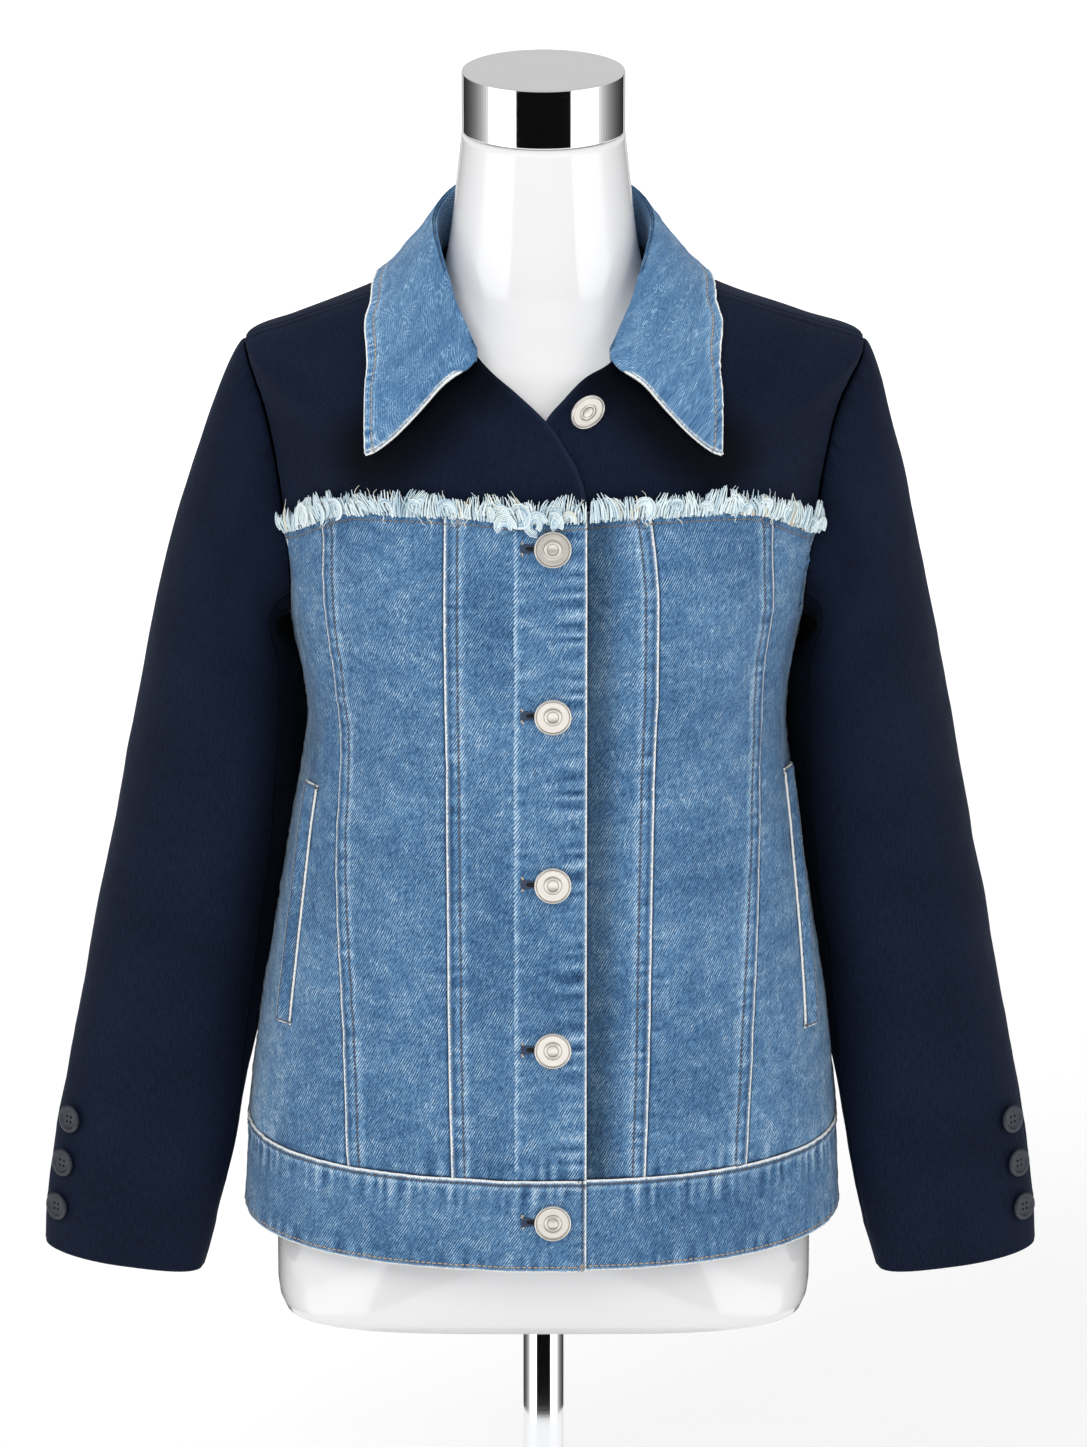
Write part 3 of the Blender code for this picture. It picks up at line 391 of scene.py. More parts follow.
# ---------------------------------------------------------------- relief of sewn cloth, in millimetres
class Relief:
    """What sewing and wear do to a panel, and the light and shade painted on it: lift and crease, painted
    shade, and distances to edges, tucks and stitches.
    """

    def __init__(self, shape):
        self.lift, self.crease, self.tone, self.shade = (np.zeros(shape) for _ in range(4))
        self.edge, self.tuck, self.stitch = (np.full(shape, 60.0) for _ in range(3))
        self.run = np.zeros(shape)

    def pucker(self, distance, run, amount, wave, middle, reach, seed):
        """Short soft ridges that cross a seam, strongest at this distance from it."""
        dice = random.Random(seed)
        turns = [dice.uniform(0, 2 * math.pi) for _ in range(4)]
        pace = 2 * math.pi * run / (wave * MM)
        ridge = np.sin(pace + turns[0] + 1.2 * np.sin(pace / 3.1 + turns[1]))
        ridge = ridge * (0.62 + 0.38 * np.sin(pace / 5.3 + turns[2] + np.sin(pace / 9.7 + turns[3])))
        strength = np.where(distance < middle, 0.45 + 0.55 * distance / max(middle, 1e-6),
                            np.exp(-(((distance - middle) / reach) ** 2)))
        self.lift += amount * ridge * strength
        # On denim the ridges rub pale; on the suiting this crease is painted light and shade of the ridges.
        self.crease += ridge * strength * min(1.5, amount / 0.35)

    def shadow(self, distance, reach, amount):
        """Paints deep shade on a covered stretch, fading out towards this distance."""
        self.shade = np.maximum(self.shade, amount * (1 - smoothstep(0.25 * reach, reach, distance)))

    def sew(self, distance, run, seed, height=0.0, width=7.5, stitch=None, worn=False, tuck=False,
            amount=0.3, wave=9.0, middle=3.5, reach=7.0, round_off=0.5, pale=0.0):
        """One border: how high its allowance lies and how wide, its stitch line, and its puckers."""
        self.lift += height * (1 - smoothstep(width - 1.5, width + 1.2, distance))
        # pale lightens a line along the border: rubbed pale on denim, a painted highlight on the suiting's
        # turned neckline edge.
        self.crease += pale * bump_at(distance, 1.0, 1.5)
        self.lift -= round_off * bump_at(distance, 0.0, 0.55)
        if amount:
            self.pucker(distance, run, amount, wave, middle, reach, seed)
        if worn:
            self.edge = np.minimum(self.edge, distance)
        # A tuck sinks the cloth a little, and the finishes paint shade along it.
        if tuck:
            self.lift -= 0.55 * bump_at(distance, 0.0, 2.0)
            self.tuck = np.minimum(self.tuck, distance)
        if stitch is not None:
            self.add_stitch(distance - stitch, run)
            if height > 0.4:  # the allowance rubs pale on both sides of its stitching
                self.crease += (1.0 * bump_at(distance, stitch + 1.9, 1.9)
                                + 0.5 * bump_at(distance, stitch - 1.7, 1.4)
                                - 0.9 * bump_at(distance, 2.1, 1.1))

    def add_stitch(self, offset, run):
        nearer = np.abs(offset) < np.abs(self.stitch)
        self.stitch = np.where(nearer, offset, self.stitch)
        self.run = np.where(nearer, run, self.run)
        self.lift -= 0.22 * bump_at(offset, 0.0, 0.8)


RIDGE = dict(height=0.9, stitch=7.2, worn=True, amount=0.26)
TUCK = dict(tuck=True, amount=0.16, middle=0.5, reach=8.0, round_off=0.2)


def waves(a, b, seed, count=5, low=0.02, high=0.06):
    """Broad soft unevenness of cloth, from -1 to 1, over two metric coordinates."""
    dice = random.Random(seed)
    total = 0.0
    for _ in range(count):
        length, turn, start = dice.uniform(low, high), dice.uniform(0, math.pi), dice.uniform(0, 6.3)
        total = total + np.sin(2 * math.pi / length * (a * math.cos(turn) + b * math.sin(turn)) + start)
    return total / count


# ---------------------------------------------------------------- settings
def length(name, description, default, **more):
    return bpy.props.FloatProperty(name=name, description=description, default=default, min=0.0001, max=1.0,
                                   precision=4, subtype="DISTANCE", unit="LENGTH", **more)


def colour(name, description, red, green, blue):
    return bpy.props.FloatVectorProperty(name=name, description=description, default=(red, green, blue),
                                         size=3, min=0.0, max=1.0, subtype="COLOR")


class JacketSizes(bpy.types.PropertyGroup):
    """Sizes of the jacket's trims."""

    twill_pitch: length("Twill pitch", "Distance between the diagonal lines of the denim", 0.00134)
    stitch_length: length("Stitch length", "One topstitch and the gap after it", 0.0034)
    welt_width: length("Welt width", "Width of each pocket welt", 0.0125)
    fringe_reach: length("Fringe reach", "How far the frayed yarn stands above the yoke seam", 0.0145)
    yarn: length("Yarn", "Thickness of a frayed strand", 0.00105)
    button_diameter: length("Metal buttons", "Diameter of the metal buttons", 0.022)
    cuff_button_diameter: length("Cuff buttons", "Diameter of the cuff buttons", 0.0172)


class JacketColours(bpy.types.PropertyGroup):
    """Colours of the jacket, the dress form and the stand."""

    denim: colour("Denim", "Washed denim", 0.076, 0.180, 0.335)
    # Deepest tone of the washed denim, and the painted shade in tucks, stitch grooves and buttonhole
    # stitching.
    denim_deep_and_shade: colour("Denim, shaded", "Denim inside tucks and along stitches", 0.010, 0.034, 0.085)
    denim_dark: colour("Denim, dark", "The least washed denim", 0.026, 0.078, 0.175)
    denim_light: colour("Denim, light", "The most washed denim", 0.205, 0.355, 0.520)
    denim_pale: colour("Denim, pale", "Denim rubbed nearly white", 0.52, 0.64, 0.74)
    worn: colour("Worn edges", "Seam edges rubbed white", 0.80, 0.81, 0.79)
    seam_thread: colour("Seam thread", "Topstitching on the long seams", 0.085, 0.080, 0.090)
    tan_thread: colour("Tan thread", "Topstitching on the yoke seam, hem and collar", 0.42, 0.33, 0.24)
    hole_thread: colour("Buttonhole thread", "Stitching round the buttonholes", 0.045, 0.066, 0.115)
    suiting: colour("Suiting", "Worsted of the yoke and sleeves", 0.0046, 0.0084, 0.0215)
    suiting_dark: colour("Suiting, dark", "Shaded threads of the worsted", 0.0018, 0.0034, 0.0095)
    suiting_light: colour("Suiting, light", "Lit threads of the worsted", 0.0090, 0.0150, 0.0340)
    # Fray, blue also stands as painted shade for the deeper strands of the comb.
    fray_blue: colour("Fray, blue", "Frayed yarn with some dye left", 0.38, 0.52, 0.63)
    fray_pale: colour("Fray, pale", "Most of the frayed yarn", 0.70, 0.80, 0.83)
    fray_white: colour("Fray, white", "Undyed frayed yarn", 0.86, 0.90, 0.89)
    fray_cream: colour("Fray, cream", "Cotton showing its own colour", 0.82, 0.76, 0.62)
    fray_tan: colour("Fray, tan", "Ends of seam thread among the yarn", 0.62, 0.45, 0.28)
    nickel: colour("Nickel", "Metal buttons", 0.86, 0.82, 0.76)
    nickel_dark: colour("Nickel, dulled", "Dulled metal", 0.72, 0.68, 0.62)
    # Painted shade for the buttons' grooves.
    nickel_groove_shade: colour("Nickel, grooves", "Metal in the buttons' grooves", 0.19, 0.17, 0.15)
    horn: colour("Cuff buttons", "Dark button stock", 0.006, 0.009, 0.018)
    horn_light: colour("Cuff buttons, light", "Swirls in the button stock", 0.013, 0.018, 0.032)
    form: colour("Form", "Lacquer of the dress form", 0.735, 0.735, 0.742)
    form_shade: colour("Form, shade", "Slight clouding of the lacquer", 0.71, 0.71, 0.718)
    chrome: colour("Chrome", "Cap, pole and base", 0.88, 0.885, 0.895)
    chrome_dark: colour("Chrome, dulled", "Polishing lines", 0.80, 0.805, 0.82)
    floor: colour("Floor", "Studio floor", 0.85, 0.85, 0.85)


def settings():
    scene = bpy.context.scene
    return scene.jacket_sizes, scene.jacket_colours


# ---------------------------------------------------------------- shader arithmetic
class Value:
    """An output of a shader node, with arithmetic that adds the nodes it needs."""

    def __init__(self, finish, socket):
        self.finish, self.socket = finish, socket

    def join(self, operation, first, second):
        kinds = {item.socket.type for item in (first, second) if isinstance(item, Value)}
        if "RGBA" in kinds:
            return self.finish.mix(1.0, first, second, operation)
        node = "ShaderNodeVectorMath" if "VECTOR" in kinds else "ShaderNodeMath"
        return self.finish.add(node, {"operation": operation}, {0: first, 1: second})

    def __add__(self, other):
        return self.join("ADD", self, other)

    def __sub__(self, other):
        return self.join("SUBTRACT", self, other)

    def __rsub__(self, other):
        return self.join("SUBTRACT", other, self)

    def __mul__(self, other):
        return self.join("MULTIPLY", self, other)

    def __truediv__(self, other):
        return self.join("DIVIDE", self, other)

    def __abs__(self):
        return self.finish.add("ShaderNodeMath", {"operation": "ABSOLUTE"}, {0: self})

    __radd__, __rmul__ = __add__, __mul__


class Finish:
    """A material being put together."""

    def __init__(self, name):
        self.material = bpy.data.materials.new(name)
        self.material.use_nodes = True
        self.tree = self.material.node_tree
        self.shader = self.tree.nodes["Principled BSDF"]

    def add(self, kind, settings=None, inputs=None, output=0):
        """Adds one node: its settings first, then the values or links of its sockets."""
        node = self.tree.nodes.new(kind)
        for key, value in (settings or {}).items():
            if key == "stops":
                while len(node.color_ramp.elements) < len(value):
                    node.color_ramp.elements.new(1.0)
                for element, (place, colour) in zip(node.color_ramp.elements, value):
                    element.position, element.color = place, (*colour, 1.0)
            else:
                setattr(node, key, value)
        for key, value in (inputs or {}).items():
            self.feed(node.inputs[key], value)
        return Value(self, node.outputs[output])

    def feed(self, socket, value):
        if isinstance(value, Value):
            self.tree.links.new(value.socket, socket)
        elif socket.type == "RGBA":
            socket.default_value = (*value, 1.0)[:4] if hasattr(value, "__len__") else (value,) * 3 + (1.0,)
        elif socket.type == "VECTOR":
            socket.default_value = tuple(value) if hasattr(value, "__len__") else (value,) * 3
        else:
            socket.default_value = value

    def set(self, **sockets):
        """Sets or links sockets of the shader, named with _ for a space."""
        for name, value in sockets.items():
            self.feed(self.shader.inputs[name.replace("_", " ")], value)

    def mix(self, factor, first, second, blend="MIX"):
        return self.add("ShaderNodeMix", {"data_type": "RGBA", "blend_type": blend, "clamp_factor": True},
                        {0: factor, 6: first, 7: second}, output=2)

    def noise(self, at, scale, detail=2.0, roughness=0.5, distortion=0.0):
        return self.add("ShaderNodeTexNoise", {"noise_dimensions": "3D"}, {
            "Vector": at, "Scale": scale, "Detail": detail, "Roughness": roughness,
            "Distortion": distortion})

    def grain(self, at, scale, detail=1.0, roughness=0.5):
        """Noise over the flat map of a piece of cloth, from -0.5 to 0.5."""
        return self.add("ShaderNodeTexNoise", {"noise_dimensions": "2D"}, {
            "Vector": at, "Scale": scale, "Detail": detail, "Roughness": roughness}) - 0.5

    def dot(self, at, axis):
        return self.add("ShaderNodeVectorMath", {"operation": "DOT_PRODUCT"}, {0: at, 1: axis}, output=1)

    def sine(self, value):
        return self.add("ShaderNodeMath", {"operation": "SINE"}, {0: value})

    def fraction(self, value):
        return self.add("ShaderNodeMath", {"operation": "FRACT"}, {0: value})

    def least(self, first, second):
        return self.add("ShaderNodeMath", {"operation": "MINIMUM"}, {0: first, 1: second})

    def step(self, value, low, high):
        """0 below low, 1 above high, smooth between."""
        return self.add("ShaderNodeMapRange", {"interpolation_type": "SMOOTHSTEP"},
                        {0: value, 1: low, 2: high, 3: 0.0, 4: 1.0})

    def drop(self, value, low, high):
        """1 below low, 0 above high, smooth between."""
        return self.add("ShaderNodeMapRange", {"interpolation_type": "SMOOTHSTEP"},
                        {0: value, 1: low, 2: high, 3: 1.0, 4: 0.0})

    def layer(self, name):
        return self.add("ShaderNodeAttribute", {"attribute_name": name}, output=2)

    def cloth(self):
        return self.add("ShaderNodeUVMap", {"uv_map": "cloth"})

    def place(self):
        return self.add("ShaderNodeTexCoord", output=3)

    def bump(self, height, distance, strength=1.0):
        self.set(Normal=self.add("ShaderNodeBump", inputs={
            "Height": height, "Distance": distance, "Strength": strength}))


def stitched(finish, colour):
    """Lays dashes of thread along the topstitch lines, with painted shade in their grooves; returns the
    colour and the thread's height.
    """
    sizes, colours = settings()
    offset = abs(finish.layer("stitch"))
    share = finish.fraction(finish.layer("run") / (sizes.stitch_length / MM))
    dash = finish.step(share, 0.02, 0.14) * finish.drop(share, 0.70, 0.84)
    thread = finish.drop(offset, 0.30, 0.52) * dash
    groove = finish.drop(offset, 0.35, 1.25)
    strand = finish.mix(finish.layer("tone"), colours.seam_thread, colours.tan_thread)
    # Painted shade in the groove of each stitch line.
    colour = finish.mix(groove * 0.38, colour, colours.denim_deep_and_shade)
    return finish.mix(thread, colour, strand), thread - groove * 0.35


def denim(name, line_angle, pitch, swirls, wash, base, ticks, rough):
    """Washed twill: diagonal lines, streaks, crinkles, mottling, worn edges and topstitching, with painted
    shade in tucks, stitch grooves and shaded stretches.
    """
    finish = Finish(name)
    _, colours = settings()
    at = finish.cloth()
    along = Vector((math.cos(line_angle), math.sin(line_angle), 0))
    across = Vector((along.y, -along.x, 0))
    bend = finish.grain(at, 48)
    line = finish.sine(finish.dot(at, across * (2 * math.pi / pitch)) + bend * 6.5)
    streak = finish.grain(finish.add("ShaderNodeCombineXYZ", inputs={
        0: finish.dot(at, along * 210), 1: finish.dot(at, across * 1200) + bend * 3.0}), 1.0, 2.0, 0.55)
    wide = finish.grain(at, 13)
    mottle = finish.grain(at, 74, 2.0, 0.6)
    speck = finish.grain(at, 640, 1.0, 0.6)
    swirl = finish.sine(finish.grain(at, 44, 1.5) * 135)
    tick = finish.step(swirl, 0.45, 0.98) * finish.step(mottle, -0.10, 0.12)
    # The crease layer lightens rubbed ridges, and carries painted light on the side panels.
    crease = finish.layer("crease")
    edge, tuck = finish.layer("edge"), finish.layer("tuck")
    patch = finish.step(mottle + crease * 0.22, -0.16, 0.20)
    tone = (base + wide * wash + mottle * 0.22 + streak * rough + speck * 0.36 + swirl * swirls
            + tick * ticks + line * (patch * 0.24 + 0.14) * rough + crease * 0.23)
    colour = finish.add("ShaderNodeValToRGB", {"stops": (
        (0.0, colours.denim_deep_and_shade), (0.22, colours.denim_dark), (0.48, colours.denim),
        (0.78, colours.denim_light), (1.0, colours.denim_pale))}, {0: tone})
    # Painted shade in the tucks beside the seams.
    colour = finish.mix(finish.drop(tuck, 1.2, 2.9) * 0.78, colour, colours.denim_deep_and_shade)
    ragged = edge + streak * 1.6 + speck * 0.9
    colour = finish.mix(finish.drop(ragged, 1.0, 2.6) * 0.22, colour, colours.denim_pale)
    colour = finish.mix(finish.drop(ragged, 0.60, 1.20) * 0.94, colour, colours.worn)
    colour, thread = stitched(finish, colour)
    finish.set(Base_Color=colour * (1 - finish.layer("shade")), Roughness=0.86, Sheen_Weight=0.10,
               Sheen_Roughness=0.5, Specular_IOR_Level=0.12)
    finish.bump(line * 0.30 + streak * 1.3 + thread * 1.2, 0.00040, 0.75)
    return finish.material


def worsted():
    """Fine dark worsted: a close diagonal weave, faint slubs and a soft bloom, with painted light and shade
    from its crease and tuck layers.
    """
    finish = Finish("worsted")
    _, colours = settings()
    at = finish.cloth()
    line = finish.sine(finish.dot(at, Vector((0.80, -0.60, 0)) * (2 * math.pi / 0.00105))
                       + finish.grain(at, 60) * 6.0)
    grain = finish.add("ShaderNodeCombineXYZ", inputs={0: finish.dot(at, (900, 0, 0)),
                                                       1: finish.dot(at, (0, 160, 0))})
    slub = finish.grain(grain, 1.0)
    speck = finish.grain(at, 1100)
    wide = finish.grain(at, 16)
    # The tone runs between shaded and lit threads: the weave's lines and the crease layer paint light and
    # shade (a highlight along the turned neckline edge, the puckers' ridges and hollows); slubs, specks and
    # broad noise are the cloth's own unevenness.
    tone = 0.5 + line * 0.10 + slub * 0.5 + speck * 0.7 + wide * 0.35 + finish.layer("crease") * 0.34
    colour = finish.add("ShaderNodeValToRGB", {"stops": (
        (0.1, colours.suiting_dark), (0.5, colours.suiting), (0.95, colours.suiting_light))}, {0: tone})
    # Painted shade in the tucks beside the seams.
    edge = finish.drop(finish.layer("tuck"), 0.0, 1.3) * 0.7
    colour = finish.mix(edge, colour, colours.suiting_dark)
    finish.set(Base_Color=colour * (1 - finish.layer("shade")), Roughness=0.75, Sheen_Weight=0.035,
               Sheen_Roughness=0.4, Sheen_Tint=(0.45, 0.58, 0.95), Specular_IOR_Level=0.07)
    finish.bump(line * 0.5 + slub, 0.00014, 0.6)
    return finish.material


def frayed_yarn():
    """Loose washed yarn, each strand its own shade of white, blue or cream."""
    finish = Finish("frayed_yarn")
    _, colours = settings()
    shade = finish.layer("tone")
    colour = finish.add("ShaderNodeValToRGB", {"stops": (
        (0.0, colours.fray_blue), (0.35, colours.fray_pale), (0.80, colours.fray_white),
        (0.86, colours.fray_cream), (1.0, colours.fray_tan))}, {0: shade})
    fuzz = finish.noise(finish.place(), 1500, 2, 0.6) - 0.5
    colour = finish.mix(0.35 + fuzz, colour, colours.fray_pale, "MULTIPLY")
    finish.set(Base_Color=colour, Roughness=0.92, Sheen_Weight=0.25, Specular_IOR_Level=0.2)
    finish.bump(fuzz, 0.0002, 0.6)
    return finish.material


def buttonhole_thread():
    """Close buttonhole stitching in dark thread with some of it worn tan, and painted shade across its
    wraps.
    """
    finish = Finish("buttonhole_thread")
    _, colours = settings()
    at = finish.place()
    strand = finish.sine(finish.dot(at, (0.0, 0.0, 2 * math.pi / 0.0009)) + finish.noise(at, 500, 1) * 5.0)
    worn = finish.step(finish.noise(at, 420, 2), 0.52, 0.66) * 0.6
    colour = finish.mix(worn, colours.hole_thread, colours.seam_thread)
    # Painted shade: the thread is darkened towards the shaded denim, in stripes across its wraps.
    colour = finish.mix(0.25 + strand * 0.2, colour, colours.denim_deep_and_shade)
    finish.set(Base_Color=colour, Roughness=0.8, Specular_IOR_Level=0.3)
    finish.bump(strand, 0.00025, 0.7)
    return finish.material


def brushed_nickel():
    """Brushed warm nickel with painted shade in its grooves and a little dulling."""
    finish = Finish("brushed_nickel")
    _, colours = settings()
    at = finish.place()
    brush = finish.noise(finish.add("ShaderNodeCombineXYZ", inputs={
        0: finish.dot(at, (260, 0, 0)), 1: finish.dot(at, (0, 260, 0)),
        2: finish.dot(at, (0, 0, 2600))}), 1.0, 2) - 0.5
    cloud = finish.noise(at, 190, 2) - 0.5
    groove = finish.drop(finish.layer("edge"), 0.05, 0.65)
    colour = finish.mix(0.5 + brush * 0.7 + cloud * 0.6, colours.nickel_dark, colours.nickel)
    # Painted shade in the grooves.
    colour = finish.mix(groove * 0.8, colour, colours.nickel_groove_shade)
    finish.set(Base_Color=colour, Metallic=0.70, Roughness=0.36 + brush * 0.25 + cloud * 0.15)
    finish.bump(brush, 0.00005, 0.4)
    return finish.material


def dyed_horn():
    """Dark dyed button stock with faint swirls."""
    finish = Finish("dyed_horn")
    _, colours = settings()
    at = finish.place()
    swirl = finish.noise(at, 230, 3, 0.55, 1.6)
    colour = finish.mix(finish.step(swirl, 0.35, 0.75), colours.horn, colours.horn_light)
    finish.set(Base_Color=colour, Roughness=0.40 + swirl * 0.18, Coat_Weight=0.08)
    finish.shader.inputs["Coat Roughness"].default_value = 0.12
    finish.bump(swirl, 0.0001, 0.3)
    return finish.material


def white_lacquer():
    """Glossy white lacquer over a moulded shell."""
    finish = Finish("white_lacquer")
    _, colours = settings()
    at = finish.place()
    cloud = finish.noise(at, 5, 2) - 0.5
    colour = finish.mix(0.5 + cloud * 0.8, colours.form_shade, colours.form)
    finish.set(Base_Color=colour, Roughness=0.22 + cloud * 0.06, Coat_Weight=0.9, IOR=1.5)
    finish.shader.inputs["Coat Roughness"].default_value = 0.035
    finish.bump(finish.noise(at, 60, 1), 0.00006, 0.12)
    return finish.material


def polished_chrome():
    """Polished chrome with a trace of polishing lines."""
    finish = Finish("polished_chrome")
    _, colours = settings()
    at = finish.place()
    polish = finish.noise(finish.add("ShaderNodeCombineXYZ", inputs={
        0: finish.dot(at, (30, 0, 0)), 1: finish.dot(at, (0, 30, 0)),
        2: finish.dot(at, (0, 0, 900))}), 1.0, 2) - 0.5
    finish.set(Base_Color=finish.mix(0.5 + polish * 0.4, colours.chrome_dark, colours.chrome),
               Metallic=1.0, Roughness=0.055 + polish * 0.03)
    return finish.material


def plain(name, colour, roughness=0.9):
    """A dark recess or a sewn-through thread: one even colour, finely mottled; in a recess the dark colour
    is painted shade.
    """
    finish = Finish(name)
    speck = finish.noise(finish.place(), 900, 2) - 0.5
    finish.set(Base_Color=finish.mix(0.5 + speck, [c * 0.7 for c in colour], [c * 1.3 for c in colour]),
               Roughness=roughness)
    return finish.material


RECIPES = {
    "washed_denim": lambda: denim("washed_denim", math.radians(61), settings()[0].twill_pitch,
                                  swirls=0.02, wash=0.26, base=0.425, ticks=0.09, rough=0.78),
    "collar_denim": lambda: denim("collar_denim", math.radians(18), COLLAR_TWILL,
                                  swirls=0.05, wash=0.18, base=0.50, ticks=0.15, rough=0.34),
    "worsted": worsted, "frayed_yarn": frayed_yarn, "buttonhole_thread": buttonhole_thread,
    "brushed_nickel": brushed_nickel, "dyed_horn": dyed_horn, "white_lacquer": white_lacquer,
    "polished_chrome": polished_chrome, "dark_recess": lambda: plain("dark_recess", (0.004, 0.005, 0.008)),
}


def finish_of(name):
    return bpy.data.materials.get(name) or RECIPES[name]()


# ---------------------------------------------------------------- pieces
def link_piece(name, mesh, finish, nodes=()):
    """Links a finished mesh as one piece that rides on the body and stands for its solids."""
    item = bpy.data.objects.new(name, mesh)
    bpy.context.scene.collection.objects.link(item)
    mesh.materials.clear()
    mesh.materials.append(finish_of(finish))
    mesh.shade_smooth()
    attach(item, BODY)
    if nodes:
        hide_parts(*nodes)
    return item


def lay_grid(name, places, cloth_map, layers, flip):
    """A mesh of one grid of cloth, with its metric map and its named layers of numbers."""
    rows, columns = places.shape[0] - 1, places.shape[1] - 1
    shape = bmesh.new()
    bmesh.ops.create_grid(shape, x_segments=columns, y_segments=rows, size=0.5)
    if flip:
        bmesh.ops.reverse_faces(shape, faces=shape.faces)
    mesh = bpy.data.meshes.new(name)
    shape.to_mesh(mesh)
    shape.free()
    flat = np.empty(len(mesh.vertices) * 3, np.float32)
    mesh.vertices.foreach_get("co", flat)
    flat = flat.reshape(-1, 3)
    i = np.rint((flat[:, 0] + 0.5) * columns).astype(int)
    j = np.rint((flat[:, 1] + 0.5) * rows).astype(int)
    mesh.vertices.foreach_set("co", places[j, i].astype(np.float32).ravel())
    for layer, values in layers.items():
        data = mesh.attributes.new(layer, "FLOAT", "POINT").data
        data.foreach_set("value", values[j, i].astype(np.float32))
    corners = np.empty(len(mesh.loops), np.int32)
    mesh.loops.foreach_get("vertex_index", corners)
    mapped = cloth_map[j, i][corners].astype(np.float32)
    mesh.uv_layers.new(name="cloth").data.foreach_set("uv", mapped.ravel())
    mesh.update()
    return mesh


def along_lines(places, axis):
    """Running length of the grid's lines along an axis."""
    steps = np.linalg.norm(np.diff(places, axis=axis), axis=-1)
    return np.concatenate([np.zeros_like(steps.take([0], axis)), np.cumsum(steps, axis=axis)], axis=axis)


def unit(vectors):
    return vectors / np.maximum(np.linalg.norm(vectors, axis=-1, keepdims=True), 1e-12)


def on_surface(patch, lift=None, out=0.0):
    """Turns a patch of angles and levels into points of the torso, moved out."""
    def at(u, v):
        angle, level = patch(u, v)
        point = torso(angle, level)
        away = np.full(point.shape[:-1], out) + (lift(point[..., 0]) if lift else 0.0)
        return point + torso_normal(angle, level) * away[..., None]

    at.patch = patch
    return at


def relaxed(points, rounds):
    """Evens a grid of points out; its borders run smooth and its corners stay."""
    for _ in range(rounds):
        for axis in (0, 1):
            swapped = np.swapaxes(points, 0, axis)
            inner = swapped[1:-1] * 0.5 + (swapped[:-2] + swapped[2:]) * 0.25
            points = np.swapaxes(np.concatenate([swapped[:1], inner, swapped[-1:]]), 0, axis)
    return points


def sheet(name, finish, slot, nodes, place, u, v, sew=None, wall=DENIM_WALL, flip=False, spread=None,
          declare=True, relax=0):
    """One cut piece: place(u, v) lays its outer face, and sew(relief, room) adds what sewing does to it."""
    grid_u, grid_v = np.meshgrid(u, v)
    base = relaxed(place(grid_u, grid_v), relax)
    across, up = along_lines(base, 1), along_lines(base, 0)
    normal = unit(np.cross(np.gradient(base, axis=1), np.gradient(base, axis=0)))
    if flip:
        normal = -normal
    relief = Relief(base.shape[:2])
    room = SimpleNamespace(u=grid_u, v=grid_v, base=base, across=across, up=up, start=across / MM,
                           end=(across[:, -1:] - across) / MM, foot=up / MM, top=(up[-1:, :] - up) / MM)
    if hasattr(place, "patch"):
        room.angle, room.level = place.patch(grid_u, grid_v)
    if sew:
        sew(relief, room)
    points = base + normal * (relief.lift * MM)[..., None]
    for border, amount in (spread or {}).items():  # lets a ridge reach a little over its neighbour
        along = unit(np.gradient(base, axis=1 if border in ("start", "end") else 0))
        share = np.clip(1 - getattr(room, border) / 3.0, 0, 1) * amount * MM
        points = points + along * (share * (-1 if border in ("start", "foot") else 1))[..., None]
    grain = 0.173 * len(bpy.data.objects)  # so that no two pieces share a stretch of cloth
    cloth_map = np.stack([(-across if flip else across) + grain, up + 0.6 * grain], axis=-1)
    layers = {"edge": relief.edge, "tuck": relief.tuck, "stitch": relief.stitch, "run": relief.run / MM,
              "crease": relief.crease, "tone": relief.tone, "shade": relief.shade}
    name = f"{slot}_{name}"
    item = link_piece(name, lay_grid(name, points, cloth_map, layers, flip), finish, nodes)
    shell = item.modifiers.new("wall", "SOLIDIFY")
    shell.thickness, shell.offset = wall, -1.0
    if not declare:
        return item
    return item


# ---------------------------------------------------------------- denim panels
PUCKER_FOOT = dict(tuck=True, amount=0.34, wave=9.5, middle=2.0, reach=11.0, round_off=0.2)


def seam_angle(name):
    return lambda level: angle_of(getattr(FRONT_SEAMS.at(level), name), level)


def x_angle(x, front=True, turn=0.0):
    return lambda level: turn + angle_of(x, level, front)


def sew_panel(relief, room, start, end, seed):
    """A long denim panel: its two long borders, its foot in the waistband and its raw top edge."""
    relief.lift += 0.7 * waves(room.across, room.up, seed) + 0.35 * waves(
        room.across, room.up, seed + 1, 6, 0.008, 0.02)
    relief.lift += 1.7 * smoothstep(YOKE - 0.0020, YOKE + 0.0020, room.level)
    for border, words in (("start", start), ("end", end)):
        if words:
            relief.sew(getattr(room, border), room.up, seed + len(border), **words)
    relief.sew(room.foot, room.across, seed + 7, **PUCKER_FOOT)
    below = (YOKE - room.level) / MM
    relief.pucker(np.abs(below), room.across, 0.22, 8.0, 0.5, 7.0, seed + 9)
    relief.tone = np.where(np.abs(below) < 4, 1.0, relief.tone)
    relief.add_stitch(below - YOKE_STITCH / MM, room.across)
    relief.edge = np.minimum(relief.edge, room.top + 0.3)
    relief.shadow(np.maximum(below + 1.5, 0), 3.0, 0.5)  # under the frayed yarn


